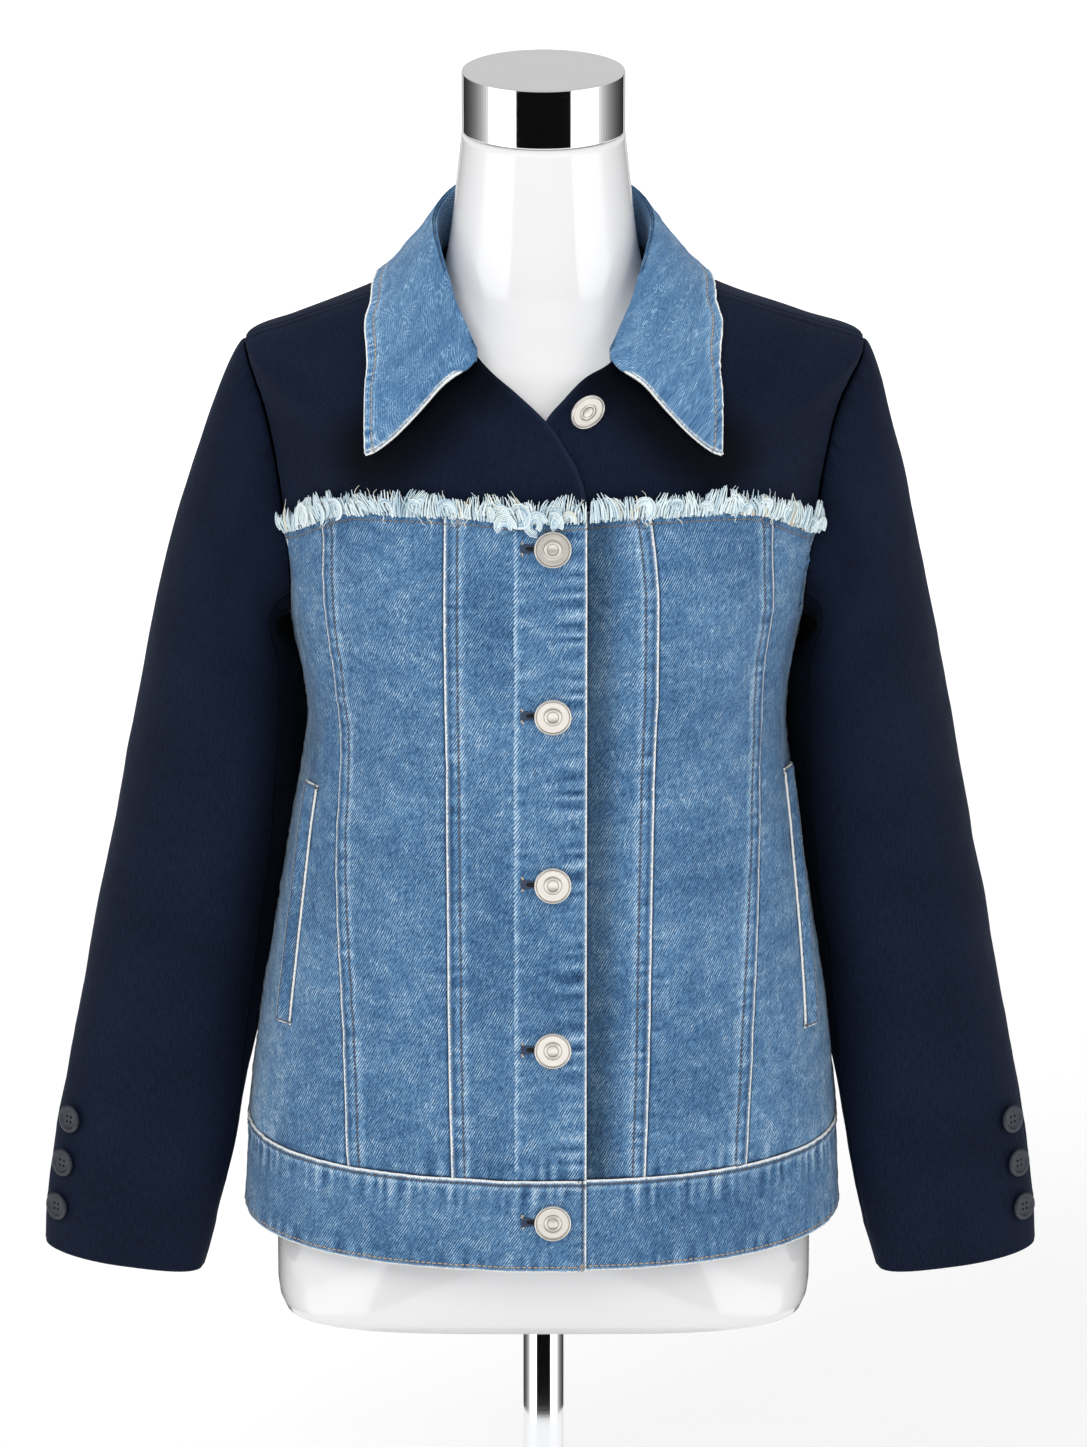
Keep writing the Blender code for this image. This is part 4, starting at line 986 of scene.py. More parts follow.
def add_panel(name, start_at, end_at, start, end, seed, lift=None, spread=None, more=None):
    patch = between(start_at, end_at, BAND_TOP, RAW_EDGE)
    low, high = torso(start_at(0.25), 0.25), torso(end_at(0.25), 0.25)
    width = float(np.linalg.norm(high - low))
    u = spaced(width, 0.0040, FINE if start else (), FINE if end else ())
    v = spaced(RAW_EDGE - BAND_TOP, 0.0030, FINE, RAW_ROWS)

    def sew(relief, room):
        sew_panel(relief, room, start, end, seed)
        if more:
            more(relief, room)

    sheet(name, "washed_denim", "denim", [name], on_surface(patch, lift), u, v, sew, spread=spread)


def border_of_side(side, outer_x, back):
    """Top border of a side panel: along the yoke seam and down the armhole, ending at the side seam."""
    corner = armhole_angle(RAW_EDGE, side, back)
    down = reverse(armhole_path(UNDERARM, RAW_EDGE, side, back))
    along = straight((angle_of(outer_x, RAW_EDGE, not back), RAW_EDGE), (corner, RAW_EDGE))
    return joined(along, down, 0.3) if not back else joined(along, down, 0.5)


def add_side_panel(name, side, seam, back, seed):
    outer_x = float(getattr(FRONT_SEAMS.at(RAW_EDGE), seam)) if not back else side * BACK_SEAM_X
    start_at = seam_angle(seam) if not back else x_angle(side * BACK_SEAM_X, False)
    low_start = float(start_at(BAND_TOP))

    def start(v):
        level = BAND_TOP + (RAW_EDGE - BAND_TOP) * v
        return start_at(level), level

    def end(v):
        level = BAND_TOP + (UNDERARM - BAND_TOP) * v
        return side * QUARTER + 0 * level, level

    patch = coons(straight((low_start, BAND_TOP), (side * QUARTER, BAND_TOP)),
                  border_of_side(side, outer_x, back), start, end)
    width = 0.105 if back else 0.062
    u = spaced(width, 0.0040, FINE, FINE)
    v = spaced(0.415, 0.0030, FINE, RAW_ROWS)
    seam_words = dict(TUCK)
    side_words = dict(TUCK) if back else dict(RIDGE, height=0.6)

    def sew(relief, room):
        turned_up = room.level > YOKE - 0.006
        sew_panel(relief, room, seam_words, side_words, seed)
        # Painted light: the panel is lightened towards the jacket's side, where it turns away from the
        # lamps.
        relief.crease += 0.55 * smoothstep(0.15, 0.8, room.u)
        # Painted shade along the armhole seam, below the yoke.
        at_armhole = smoothstep(0.0, 0.05, room.u - (0.5 if back else 0.3))
        relief.tuck = np.minimum(relief.tuck, np.where(turned_up, 60, room.top + 20 * (1 - at_armhole)))

    sheet(name, "washed_denim", "denim", [name], on_surface(patch), u, v, sew, flip=(side < 0) != back)


class JACKET_OT_fronts(bpy.types.Operator):
    """Lay the front panels, the buttonhole strip and the two front side panels"""

    bl_idname = "jacket.fronts"
    bl_label = "Fronts"

    def execute(self, context):
        placket = dict(height=0.4, amount=0.2, wave=11.0, pale=1.3)
        free = dict(height=0.0, worn=True, amount=0.60, wave=10.5, middle=4.0, reach=13.0, round_off=0.5)

        def covered(relief, room):
            """Paints deep shade on the wearer's left front beside the lapped edge."""
            away = np.maximum((room.base[..., 0] - FRONT_EDGE) / MM, 0)
            relief.shadow(away, 25.0, 0.58)
            relief.shadow(away, 5.0, 0.72)

        add_panel("front_middle_right", seam_angle("right_outer"), seam_angle("right_inner"),
                  RIDGE, TUCK, 11, spread={"start": 0.8})
        add_panel("front_centre_right", seam_angle("right_inner"), x_angle(PLACKET_SEAM),
                  RIDGE, dict(amount=0.12, middle=0.5, reach=8.0, round_off=0.2), 23, lift_of,
                  {"start": 0.8})
        add_panel("placket", x_angle(PLACKET_SEAM), x_angle(FRONT_EDGE), placket, free, 31, lift_of,
                  {"start": 0.6})
        add_panel("front_centre_left", x_angle(UNDER_EDGE), seam_angle("left_inner"), None, RIDGE, 47,
                  spread={"end": 0.8}, more=covered)
        add_panel("front_middle_left", seam_angle("left_inner"), seam_angle("left_outer"), TUCK, RIDGE,
                  59, spread={"end": 0.8})
        add_side_panel("front_side_right", -1, "right_outer", False, 67)
        add_side_panel("front_side_left", 1, "left_outer", False, 71)
        return {"FINISHED"}


class JACKET_OT_backs(bpy.types.Operator):
    """Lay the centre back panel and the two back side panels"""

    bl_idname = "jacket.backs"
    bl_label = "Backs"

    def execute(self, context):
        add_panel("back_centre", x_angle(BACK_SEAM_X, False),
                  x_angle(-BACK_SEAM_X, False, 2 * math.pi), RIDGE, RIDGE, 83,
                  spread={"start": 0.8, "end": 0.8})
        add_side_panel("back_side_right", -1, None, True, 89)
        add_side_panel("back_side_left", 1, None, True, 97)
        return {"FINISHED"}


class JACKET_OT_waistband(bpy.types.Operator):
    """Lay the three lengths of the waistband"""

    bl_idname = "jacket.waistband"
    bl_label = "Waistband"

    def execute(self, context):
        top = dict(height=1.0, width=5.0, stitch=2.2, worn=True, amount=0.60, wave=8.5, middle=5.0,
                   reach=13.0, round_off=0.5)
        hem = dict(height=0.3, width=4.0, stitch=3.2, worn=True, amount=0.36, wave=11.0, middle=1.5,
                   reach=9.0, round_off=0.6)
        free = dict(height=0.2, stitch=2.4, worn=True, amount=0.2, wave=9.0, round_off=0.5)
        seam = dict(tuck=True, amount=0.1, round_off=0.4)

        def band(name, start_at, end_at, start, end, seed, lift=None):
            def sew(relief, room):
                relief.lift += 0.6 * waves(room.across, room.up, seed, 5, 0.015, 0.05)
                relief.sew(room.start, room.up, seed + 1, **start)
                relief.sew(room.end, room.up, seed + 2, **end)
                relief.sew(room.foot, room.across, seed + 3, **hem)
                relief.sew(room.top, room.across, seed + 4, **top)
                relief.tone = np.where(room.foot < 6, 1.0, relief.tone)

            length = {"waistband_back": 0.42, "waistband_right": 0.235, "waistband_left": 0.23}[name]
            u = spaced(length, 0.0024, FEW, FEW)
            v = spaced(BAND_TOP, 0.0026, FINE, FINE)
            patch = between(start_at, end_at, 0.0, BAND_TOP)
            sheet(name, "washed_denim", "denim", [name], on_surface(patch, lift), u, v, sew,
                  spread={"top": 0.9})

        band("waistband_right", lambda k: -QUARTER + 0 * k, x_angle(FRONT_EDGE), seam, free, 103, lift_of)
        band("waistband_left", x_angle(UNDER_EDGE), lambda k: QUARTER + 0 * k, free, seam, 109)
        band("waistband_back", lambda k: QUARTER + 0 * k, lambda k: 3 * QUARTER + 0 * k, seam, seam, 127)
        return {"FINISHED"}


class JACKET_OT_welts(bpy.types.Operator):
    """Lay the two slanting pocket welts"""

    bl_idname = "jacket.welts"
    bl_label = "Pocket welts"

    def execute(self, context):
        sizes, _ = settings()
        for word, top, foot in WELTS:
            top, foot = on_torso(*top), on_torso(*foot)

            def patch(u, v, top=top, foot=foot):
                angle = foot[0] + (top[0] - foot[0]) * v
                level = foot[1] + (top[1] - foot[1]) * v
                per_turn = np.linalg.norm(torso(angle + 0.01, level) - torso(angle, level), axis=-1) / 0.01
                inward = 0.0018 * (1 if foot[0] < 0 else -1)
                return angle + (sizes.welt_width / 2 * (2 * u - 1) + inward) / per_turn, level + 0 * u

            def sew(relief, room, word=word):
                outer = room.start if word == "right" else room.end
                relief.lift += 2.4 * (1 - smoothstep(0.0, 12.0, outer))
                border = dict(worn=True, amount=0.16, wave=7.0, middle=1.0, reach=3.0, round_off=0.9)
                relief.sew(room.start, room.up, 131, stitch=1.7, **border)
                relief.sew(room.end, room.up, 137, stitch=1.7, **border)
                for distance in (room.foot, room.top):
                    relief.sew(distance, room.across, 139, stitch=1.5, **dict(border, amount=0.0))

            u = spaced(sizes.welt_width, 0.0008, (0.3, 0.7), (0.3, 0.7))
            v = spaced(0.150, 0.0024, FEW, FEW)
            sheet("welt_" + word, "washed_denim", "denim", ["welt_" + word],
                  on_surface(patch, out=0.0019), u, v, sew, declare=False)
        return {"FINISHED"}


# ---------------------------------------------------------------- suiting yoke and frayed edge
class JACKET_OT_yoke(bpy.types.Operator):
    """Lay the two front yokes and the back yoke"""

    bl_idname = "jacket.yoke"
    bl_label = "Yoke"

    def execute(self, context):
        low = YOKE - 0.004
        leaf = np.linspace(0.5, 1.0, 24)
        rim = collar_place(0 * leaf, leaf)

        def shade_yoke(relief, room):
            """Sinks the foot under the denim, and paints shade along the foot and on what the collar leaf
            overhangs.
            """
            relief.lift -= 1.9 * (1 - smoothstep(3.0, 8.0, room.foot))
            relief.shadow(room.foot, 22.0, 0.35)
            for flip in (1, -1):
                away = room.base[..., None, :] - rim * [flip, 1, 1]
                relief.shadow(np.linalg.norm(away, axis=-1).min(axis=-1) / MM, 40.0, 0.80)

        folds = [row for row in np.column_stack([COLLAR.keys, COLLAR.columns.T]) if row[1] < 90]
        soft = dict(amount=0.05, wave=14.0, round_off=0.5, tuck=True, middle=0.5, reach=6.0)
        for word, side, edge, foot_x, lift in (("right", -1, LAPPED_EDGE, FRONT_EDGE, lift_of),
                                               ("left", 1, COVERED_EDGE, UNDER_EDGE, None)):
            up = [(float(angle_of(foot_x, k)), k) for k in (low, YOKE)]
            up += [on_torso(x, z) for x, z in reversed(edge)]
            up += [(side * math.radians(fold[1]), fold[2]) for fold in folds]
            up.append((side * QUARTER, NECK))
            patch = coons(straight(up[0], (float(armhole_angle(low, side)), low)),
                          straight((side * QUARTER, NECK), (side * QUARTER, SHOULDER_TIP)),
                          curve_through(up), armhole_path(low, SHOULDER_TIP, side))

            def sew(relief, room, side=side):
                relief.lift += 0.35 * waves(room.across, room.up, 149 + side, 4, 0.04, 0.09)
                # The turned neckline edge gets a painted highlight along it.
                relief.sew(room.start, room.up, 151, height=0.7, width=9.0, pale=2.0,
                           **dict(soft, tuck=False))
                relief.sew(room.top, room.across, 157, height=0.35, width=8.0, **soft)
                relief.sew(room.end, room.up, 163, **dict(soft, amount=0.12, wave=11.0))
                # Painted shade along two sunk lines, 8.5 mm in from the shoulder seam and 9.5 mm in from the
                # front edge and neckline.
                for line in (np.abs(room.top - 8.5), np.abs(room.start - 9.5)):
                    relief.tuck = np.minimum(relief.tuck, line + 0.3)
                    relief.lift -= 0.35 * bump_at(line, 0.0, 1.2)
                shade_yoke(relief, room)

            u = spaced(0.150, 0.0032, FEW, FEW)
            v = spaced(0.240, 0.0032, FEW, FEW)
            sheet("yoke_front_" + word, "worsted", "suiting", ["yoke_front_" + word],
                  on_surface(patch, lift), u, v, sew, SUITING_WALL, side < 0)

        start, end = armhole_angle(low, 1, True), 2 * math.pi + armhole_angle(low, -1, True)
        turn = 2 * math.pi
        neckline = joined(straight((QUARTER, NECK), (3 * QUARTER, NECK)),
                          straight((3 * QUARTER, NECK), (3 * QUARTER, SHOULDER_TIP)), 0.5)
        top = joined(straight((QUARTER, SHOULDER_TIP), (QUARTER, NECK)), neckline, 1 / 3)

        def right_armhole(v):
            angle, level = armhole_path(low, SHOULDER_TIP, -1, True)(v)
            return turn + angle, level

        patch = coons(straight((float(start), low), (float(end), low)), top,
                      armhole_path(low, SHOULDER_TIP, 1, True), right_armhole)

        def sew(relief, room):
            relief.lift += 0.4 * waves(room.across, room.up, 167, 4, 0.04, 0.10)
            for border, run in (("start", room.up), ("end", room.up), ("top", room.across)):
                relief.sew(getattr(room, border), run, 173, **soft)
            relief.lift -= 1.9 * (1 - smoothstep(3.0, 8.0, room.foot))

        sheet("yoke_back", "worsted", "suiting", ["yoke_back"], on_surface(patch), spaced(0.42, 0.0036),
              spaced(0.22, 0.0034, (), FEW), sew, SUITING_WALL)
        return {"FINISHED"}


def add_strands(name, nodes, strands):
    """Many thin strands as one mesh; each is (points, thickness in metres, tone), all of as many points."""
    curve = bpy.data.curves.new(name, "CURVE")
    curve.dimensions, curve.bevel_depth, curve.bevel_resolution = "3D", 1.0, 1
    curve.use_fill_caps = True
    for points, thick, _ in strands:
        spline = curve.splines.new("POLY")
        spline.points.add(len(points) - 1)
        spline.points.foreach_set("co", [c for point in points for c in (*point, 1.0)])
        last = len(points) - 1
        spline.points.foreach_set("radius", [thick / 2 * (1.0 - 0.55 * (i / last) ** 3)
                                             for i in range(len(points))])
    holder = bpy.data.objects.new(name + "_line", curve)
    bpy.context.scene.collection.objects.link(holder)
    graph = bpy.context.evaluated_depsgraph_get()
    mesh = bpy.data.meshes.new_from_object(holder.evaluated_get(graph))
    bpy.data.objects.remove(holder)
    mesh.name = name
    each = len(mesh.vertices) // len(strands)
    tones = np.repeat([tone for _, _, tone in strands], each)
    mesh.attributes.new("tone", "FLOAT", "POINT").data.foreach_set("value", tones.astype(np.float32))
    return link_piece(name, mesh, "frayed_yarn", nodes)


class JACKET_OT_fringe(bpy.types.Operator):
    """Comb the frayed yarn of the raw denim edge up over the yoke"""

    bl_idname = "jacket.fringe"
    bl_label = "Frayed edge"

    def execute(self, context):
        sizes, _ = settings()
        reach, thick = sizes.fringe_reach, sizes.yarn
        runs = (
            ("right", lambda k: float(armhole_angle(k, -1)) + 0.004, x_angle(FRONT_EDGE - 0.001), lift_of),
            ("left", x_angle(FRONT_EDGE + 0.002), lambda k: float(armhole_angle(k, 1)) - 0.004, None),
            ("back", lambda k: float(armhole_angle(k, 1, True)) + 0.004,
             lambda k: 2 * math.pi + float(armhole_angle(k, -1, True)) - 0.004, None),
        )
        for word, start_at, end_at, lift in runs:
            dice = random.Random(len(word) * 7 + 3)
            start, end = float(start_at(RAW_EDGE)), float(end_at(RAW_EDGE))
            steps = np.linspace(start, end, 240)
            line = torso(steps, RAW_EDGE + 0 * steps)
            marks = np.concatenate([[0], np.cumsum(np.linalg.norm(np.diff(line, axis=0), axis=1))])
            length = marks[-1]

            def spot(along, rise, out):
                angle = float(np.interp(along, marks, steps))
                pace = 0.57 + 0.40 * abs(math.sin(angle)) ** 5  # height gained for each unit of level
                level = YOKE + (rise / pace if rise > 0 else rise)
                point = torso(angle, level)
                away = out + (float(lift(point[0])) if lift else 0.0)
                return tuple(point + torso_normal(angle, level) * away)

            strands = []
            phases = [dice.uniform(0, 2 * math.pi) for _ in range(5)]

            def drift(along, wave, phase):
                return math.sin(along / MM / wave + phases[phase])

            def strand(foot, tip, low, high, out, belly, curl, width, tone):
                """One yarn from foot to tip, bulging by its belly and bending over by its curl."""
                points = []
                for k in range(8):
                    s = k / 7
                    points.append(spot(
                        foot + (tip - foot) * s**1.4 + 0.0003 * math.sin(5.0 * s + foot * 3e3),
                        low + (high - low) * (s - 0.30 * curl * s**3),
                        out + belly * math.sin(math.pi * (0.12 + 0.80 * s)) + 0.0016 * curl * s**2))
                strands.append((points, width, tone))

            count = int(length / 0.00095)
            # The comb behind takes the bluer, darker tones: partly dye left in the yarn, partly painted
            # shade of the strands that lie deeper.
            for i in range(count):  # the close comb behind
                along = length * (i + dice.random()) / count
                tall = reach * dice.uniform(0.62, 0.84) * (1 + 0.12 * drift(along, 7.0, 0))
                strand(along, along + 0.0018 * drift(along, 5.0, 1) + dice.uniform(-0.0006, 0.0006),
                       dice.uniform(-0.0008, 0.0008), tall, 0.0016, 0.0018, dice.uniform(-0.2, 0.5),
                       thick * dice.uniform(0.75, 1.05), dice.uniform(0.0, 0.42))
            along = 0.001
            while along < length - 0.001:  # locks that lean together, each over the last
                wide = dice.uniform(0.0034, 0.0075)
                lean = (0.0042 * drift(along, 6.5, 2) + 0.0030 * drift(along, 15.0, 3)
                        + dice.uniform(-2, 2) * MM)
                fan = dice.uniform(0.25, 1.25)
                tall = reach * dice.uniform(0.82, 1.04) * (1 + 0.12 * drift(along, 11.0, 4))
                low, curl = dice.uniform(-0.0006, 0.0028), dice.choice((0.0, 0.2, 0.3, 0.7, 1.2))
                tone, out = dice.uniform(0.30, 0.76), dice.uniform(0.0026, 0.0046)
                count = max(3, int(wide / 0.00105))
                for j in range(count):
                    off = wide * (j / (count - 1) - 0.5)
                    strand(along + off, along + off * fan + lean, low + dice.uniform(-0.0006, 0.0006),
                           tall * dice.uniform(0.90, 1.06), out + 0.0003 * (j % 3), 0.0019, curl,
                           thick * dice.uniform(0.85, 1.20), min(0.8, tone + dice.uniform(-0.34, 0.18)))
                if dice.random() < 0.30:
                    strand(along, along + lean * 1.3, low, tall * 1.02, out + 0.0012, 0.0019, curl,
                           thick * 0.9, dice.uniform(0.84, 0.98))
                along += wide * dice.uniform(0.62, 1.05)

            def loop(middle, size, low, seed):
                """A hank of yarn bent over into a C."""
                local = random.Random(seed)
                turn, span, tone = local.uniform(-1.3, 1.3), local.uniform(2.4, 4.6), local.uniform(0.4, 0.8)
                for j in range(local.randint(3, 6)):
                    wide = size + (j - 2) * 0.00085
                    points = []
                    for k in range(8):
                        a = turn + span * (k / 7 - 0.5) + math.pi / 2
                        points.append(spot(middle + wide * math.cos(a), low + wide * 1.05 * math.sin(a),
                                           0.0058 + 0.0012 * math.sin(3.1 * k / 7) + 0.0004 * j))
                    strands.append((points, thick * local.uniform(0.80, 1.05),
                                    min(0.8, tone - 0.42 * (j % 2) + local.uniform(-0.10, 0.10))))

            for i in range(int(length / 0.016)):
                loop(dice.uniform(0.004, length - 0.004), dice.uniform(0.0024, 0.0042),
                     dice.uniform(0.0030, 0.0065), dice.randint(0, 10**6))
            if word == "right":  # the thick tangle by the buttonhole strip
                for i in range(11):
                    loop(length - dice.uniform(0.0, 0.052), dice.uniform(0.003, 0.0056),
                         dice.uniform(-0.0045, 0.0055), dice.randint(0, 10**6))
            for i in range(int(length / 0.010)):  # strays, up and down
                foot = dice.uniform(0.001, length - 0.001)
                up = dice.random() < 0.6
                bend, far = dice.uniform(-0.006, 0.006), dice.uniform(0.009, 0.0145)
                points = [spot(foot + bend * (k / 7) ** 2 + 0.0008 * math.sin(k * 1.4 + i),
                               (0.003 + far * k / 7) if up else (0.003 - 0.0085 * k / 7),
                               0.0048 + 0.0018 * math.sin(2.5 * k / 7)) for k in range(8)]
                strands.append((points, thick * 0.45,
                                0.86 if dice.random() < 0.3 else dice.uniform(0.4, 0.8)))
            add_strands("fray_yarn_" + word, ["fray_" + word], strands)
        return {"FINISHED"}


# ---------------------------------------------------------------- collar
def collar_place(u, v):
    """u runs from the wearer's right front end to the left one, v from the neck seam to the outer edge."""
    side = np.where(u < 0.5, -1.0, 1.0)[..., None]
    fold = COLLAR.at(1 - np.abs(2 * u - 1))
    foot_angle, foot_level = np.radians(fold.neck_angle), fold.neck_level
    edge_angle, edge_level = np.radians(fold.edge_angle), fold.edge_level
    base = torso(foot_angle, foot_level) + torso_normal(foot_angle, foot_level) * 0.0005
    stand = np.stack([fold.lean_x, fold.lean_y, fold.rise], axis=-1)
    stand_share, turn_share = 0.25, 0.5
    share = 1 - np.abs(2 * u - 1)
    foot_x, edge_x = torso(foot_angle, foot_level)[..., 0], torso(edge_angle, edge_level)[..., 0]
    edge_x = edge_x + (LEAF_X - edge_x) * (1 - smoothstep(0.22, 0.34, share))
    edge_x = edge_x - EDGE_DRAW * bump_at(share, EDGE_DRAW_AT, EDGE_DRAW_REACH)
    behind, at_end = smoothstep(0.22, 0.36, share), np.exp(-((share / 0.05) ** 2))

    def fall(w):
        """Down the leaf from the fold: across the chest in front, straight down the torso behind."""
        early = w + 0.43 * w * (1 - w) * (1 - smoothstep(0.0, 0.2, share))
        point_end = bump_at(share, 0.0, 0.014) * bump_at(w, 1.0, 0.07)
        level = foot_level + (edge_level - foot_level) * early + 0.0055 * point_end
        late = w * (1 - at_end * (1 - smoothstep(0.10, 0.29, w)))
        aim = foot_x + (edge_x - foot_x) * late - 0.0015 * point_end
        across = angle_at(aim, level)
        for _ in range(3):  # allows for how far the leaf stands out sideways
            stand_out = LEAF_STAND_OUT * torso_normal(across, level)[..., 0] * smoothstep(0.0, 0.4, w)
            across = angle_at(aim - stand_out, level)
        angle = across + (foot_angle + (edge_angle - foot_angle) * w - across) * behind
        surface = torso(angle, level) + torso_normal(angle, level) * (COLLAR_WALL + COLLAR_GAP)
        point = surface + stand * ((1 - w) ** 1.6)[..., None]
        return point, (1 - behind) * smoothstep(0.0, 1.0, w), point_end

    ends = fall(1.0 + 0 * u)
    astray = edge_x - 0.0015 * ends[2] - ends[0][..., 0]

    def leaf(w):
        """The same, drawn sideways so that its outer edge runs straight up."""
        surface, share_moved, _ = fall(w)
        surface[..., 0] += astray * share_moved
        return surface

    tall = np.linalg.norm(stand, axis=-1)
    turn = np.minimum(0.005, 0.45 * tall)
    pace = np.linalg.norm(leaf(0 * u + 0.02) - leaf(0 * u), axis=-1)
    out = np.minimum(turn / pace * 0.02, 0.2)
    first = base + stand * (1 - turn / tall)[..., None]
    up = (v / stand_share)[..., None]
    t = np.clip((v - stand_share) / (turn_share - stand_share), 0, 1)[..., None]
    rise = base + (first - base) * np.clip(up, 0, 1)
    bend = first * (1 - t) ** 2 + leaf(0 * u) * 2 * t * (1 - t) + leaf(out) * t**2
    drop = leaf(out + (1 - out) * np.clip((v - turn_share) / (1 - turn_share), 0, 1))
    shown = v[..., None]
    point = np.where(shown < stand_share, rise, np.where(shown < turn_share, bend, drop))
    return point * np.concatenate([side, np.ones_like(side), np.ones_like(side)], axis=-1)


class JACKET_OT_collar(bpy.types.Operator):
    """Fold the denim collar down over the yoke"""

    bl_idname = "jacket.collar"
    bl_label = "Collar"

    def execute(self, context):
        def ledge(relief, distance, where=1.0):
            """The under collar's edge, which shows past the edge of the leaf, with painted shade in the step
            between them.
            """
            relief.lift -= 0.9 * (1 - smoothstep(1.1, 1.7, distance)) * where
            relief.edge = np.minimum(relief.edge, np.abs(distance - 2.5) + 60 * (1 - where) + 0.25)
            relief.tuck = np.minimum(relief.tuck, np.abs(distance - 1.6) * 1.6 + 1.2 + 60 * (1 - where))

        def sew(relief, room):
            shown = smoothstep(0.45, 0.60, room.v)
            relief.lift += 1.6 + shown * (0.5 * waves(room.across, room.up, 181, 6, 0.02, 0.05)
                                          + 0.3 * waves(room.across, room.up, 191, 6, 0.006, 0.014))
            far = room.top + 60 * (1 - shown)
            relief.sew(far, room.across, 193, height=0.35, width=7.5, stitch=6.6, worn=True, amount=0.42,
                       wave=5.6, middle=3.4, reach=4.0, round_off=0.3)
            relief.crease += 0.5 * bump_at(far, 8.6, 1.6) + 0.25 * (1 - smoothstep(8.0, 9.5, far)) * shown
            for border in ("start", "end"):
                end = getattr(room, border) + 60 * (1 - shown)
                relief.sew(end, room.up, 197, height=0.25, worn=True, amount=0.16, wave=8.0,
                           round_off=0.3)
                ledge(relief, end, shown)
            relief.tone = np.where(room.top < 9, 1.0, 0.6)

        close = (0.5, 1.0, 1.4, 1.8, 2.3, 2.8, 3.4, 4.4, 6.0)
        near = list(close) + [7.2 + 1.2 * i for i in range(64)]
        u = spaced(0.56, 0.0030, near, near)
        v = np.concatenate([np.linspace(0, 0.25, 7)[:-1], np.linspace(0.25, 0.5, 9)[:-1],
                            0.5 + 0.5 * spaced(0.060, 0.0018, (), (0.35, 0.7, 1.0, 1.3, 1.8, 2.5, 3.4, 4.4,
                                                                   5.4, 6.2, 6.8, 7.4, 8.2))])
        sheet("collar", "collar_denim", "denim", ["collar"], collar_place, u, v, sew, COLLAR_WALL, True,
              relax=6)
        return {"FINISHED"}


# ---------------------------------------------------------------- sleeves
def sleeve_ring(side, height, turn):
    """Point of the sleeve tube at this height above the hem; turn is 0 outside, a quarter in front."""
    tube = SLEEVE.at(height)
    cosine, sine = np.cos(turn), np.sin(turn)
    # Towards the cuff the sleeve is pressed to a firmer corner in front, beside the jacket.
    corner = 1.3 * (1 - smoothstep(-0.02, 0.16, height)) * (cosine < 0) * (sine > 0)
    firm = (np.abs(cosine) ** (2 + corner) + np.abs(sine) ** (2 + corner)) ** (-1 / (2 + corner))
    reach = tube.width / 2 * cosine * firm
    shift = CUFF_SHIFT * (SLEEVE_TOP - height) / (SLEEVE_TOP - CUFF)
    return np.stack([side * (tube.x + reach) + shift, tube.y - tube.depth / 2 * sine * firm,
                     HEM_HEIGHT + height + SLEEVE_LEAN * reach], axis=-1)


def sleeve_point(side, turn, down):
    """Point of the sleeve: turn goes round it, down runs from 0 at the armhole to 1 at the cuff."""
    share = np.clip((down - HEAD_SHARE) / (1 - HEAD_SHARE), 0, 1)
    tube = sleeve_ring(side, SLEEVE_TOP + (CUFF - SLEEVE_TOP) * share, turn)
    level = ARMHOLE_MIDDLE + ARMHOLE_REACH * np.cos(turn)
    edge = np.where(np.sin(turn) < 0, armhole_angle(level, side, True), armhole_angle(level, side))
    start, end = torso(edge, level), sleeve_ring(side, SLEEVE_TOP + 0 * turn, turn)
    under = 0.5 - 0.5 * np.cos(turn)
    flat = 0 * turn
    first = start + np.stack([side * (0.0085 + 0.0155 * under), -0.010 * np.sin(turn), -0.010 * under], -1)
    apart = np.linalg.norm(end - start, axis=-1)
    second = end + np.stack([-0.017 * side * (1 - under), flat, 0.45 * apart], -1)
    t = np.clip(down / HEAD_SHARE, 0, 1)[..., None]
    head = (start * (1 - t) ** 3 + first * 3 * t * (1 - t) ** 2 + second * 3 * t**2 * (1 - t)
            + end * t**3)
    point = np.where((down > HEAD_SHARE)[..., None], tube, head)
    # The cloth behind the arm swings in against the jacket's side, down to below the waist.
    swing = bump_at(turn, math.radians(212), math.radians(34)) * smoothstep(0.06, 0.20, down)
    swing = swing * (1 - smoothstep(0.66, 0.82, down)) * SLEEVE_SWING
    return point - np.stack([side * swing, flat, flat], axis=-1)


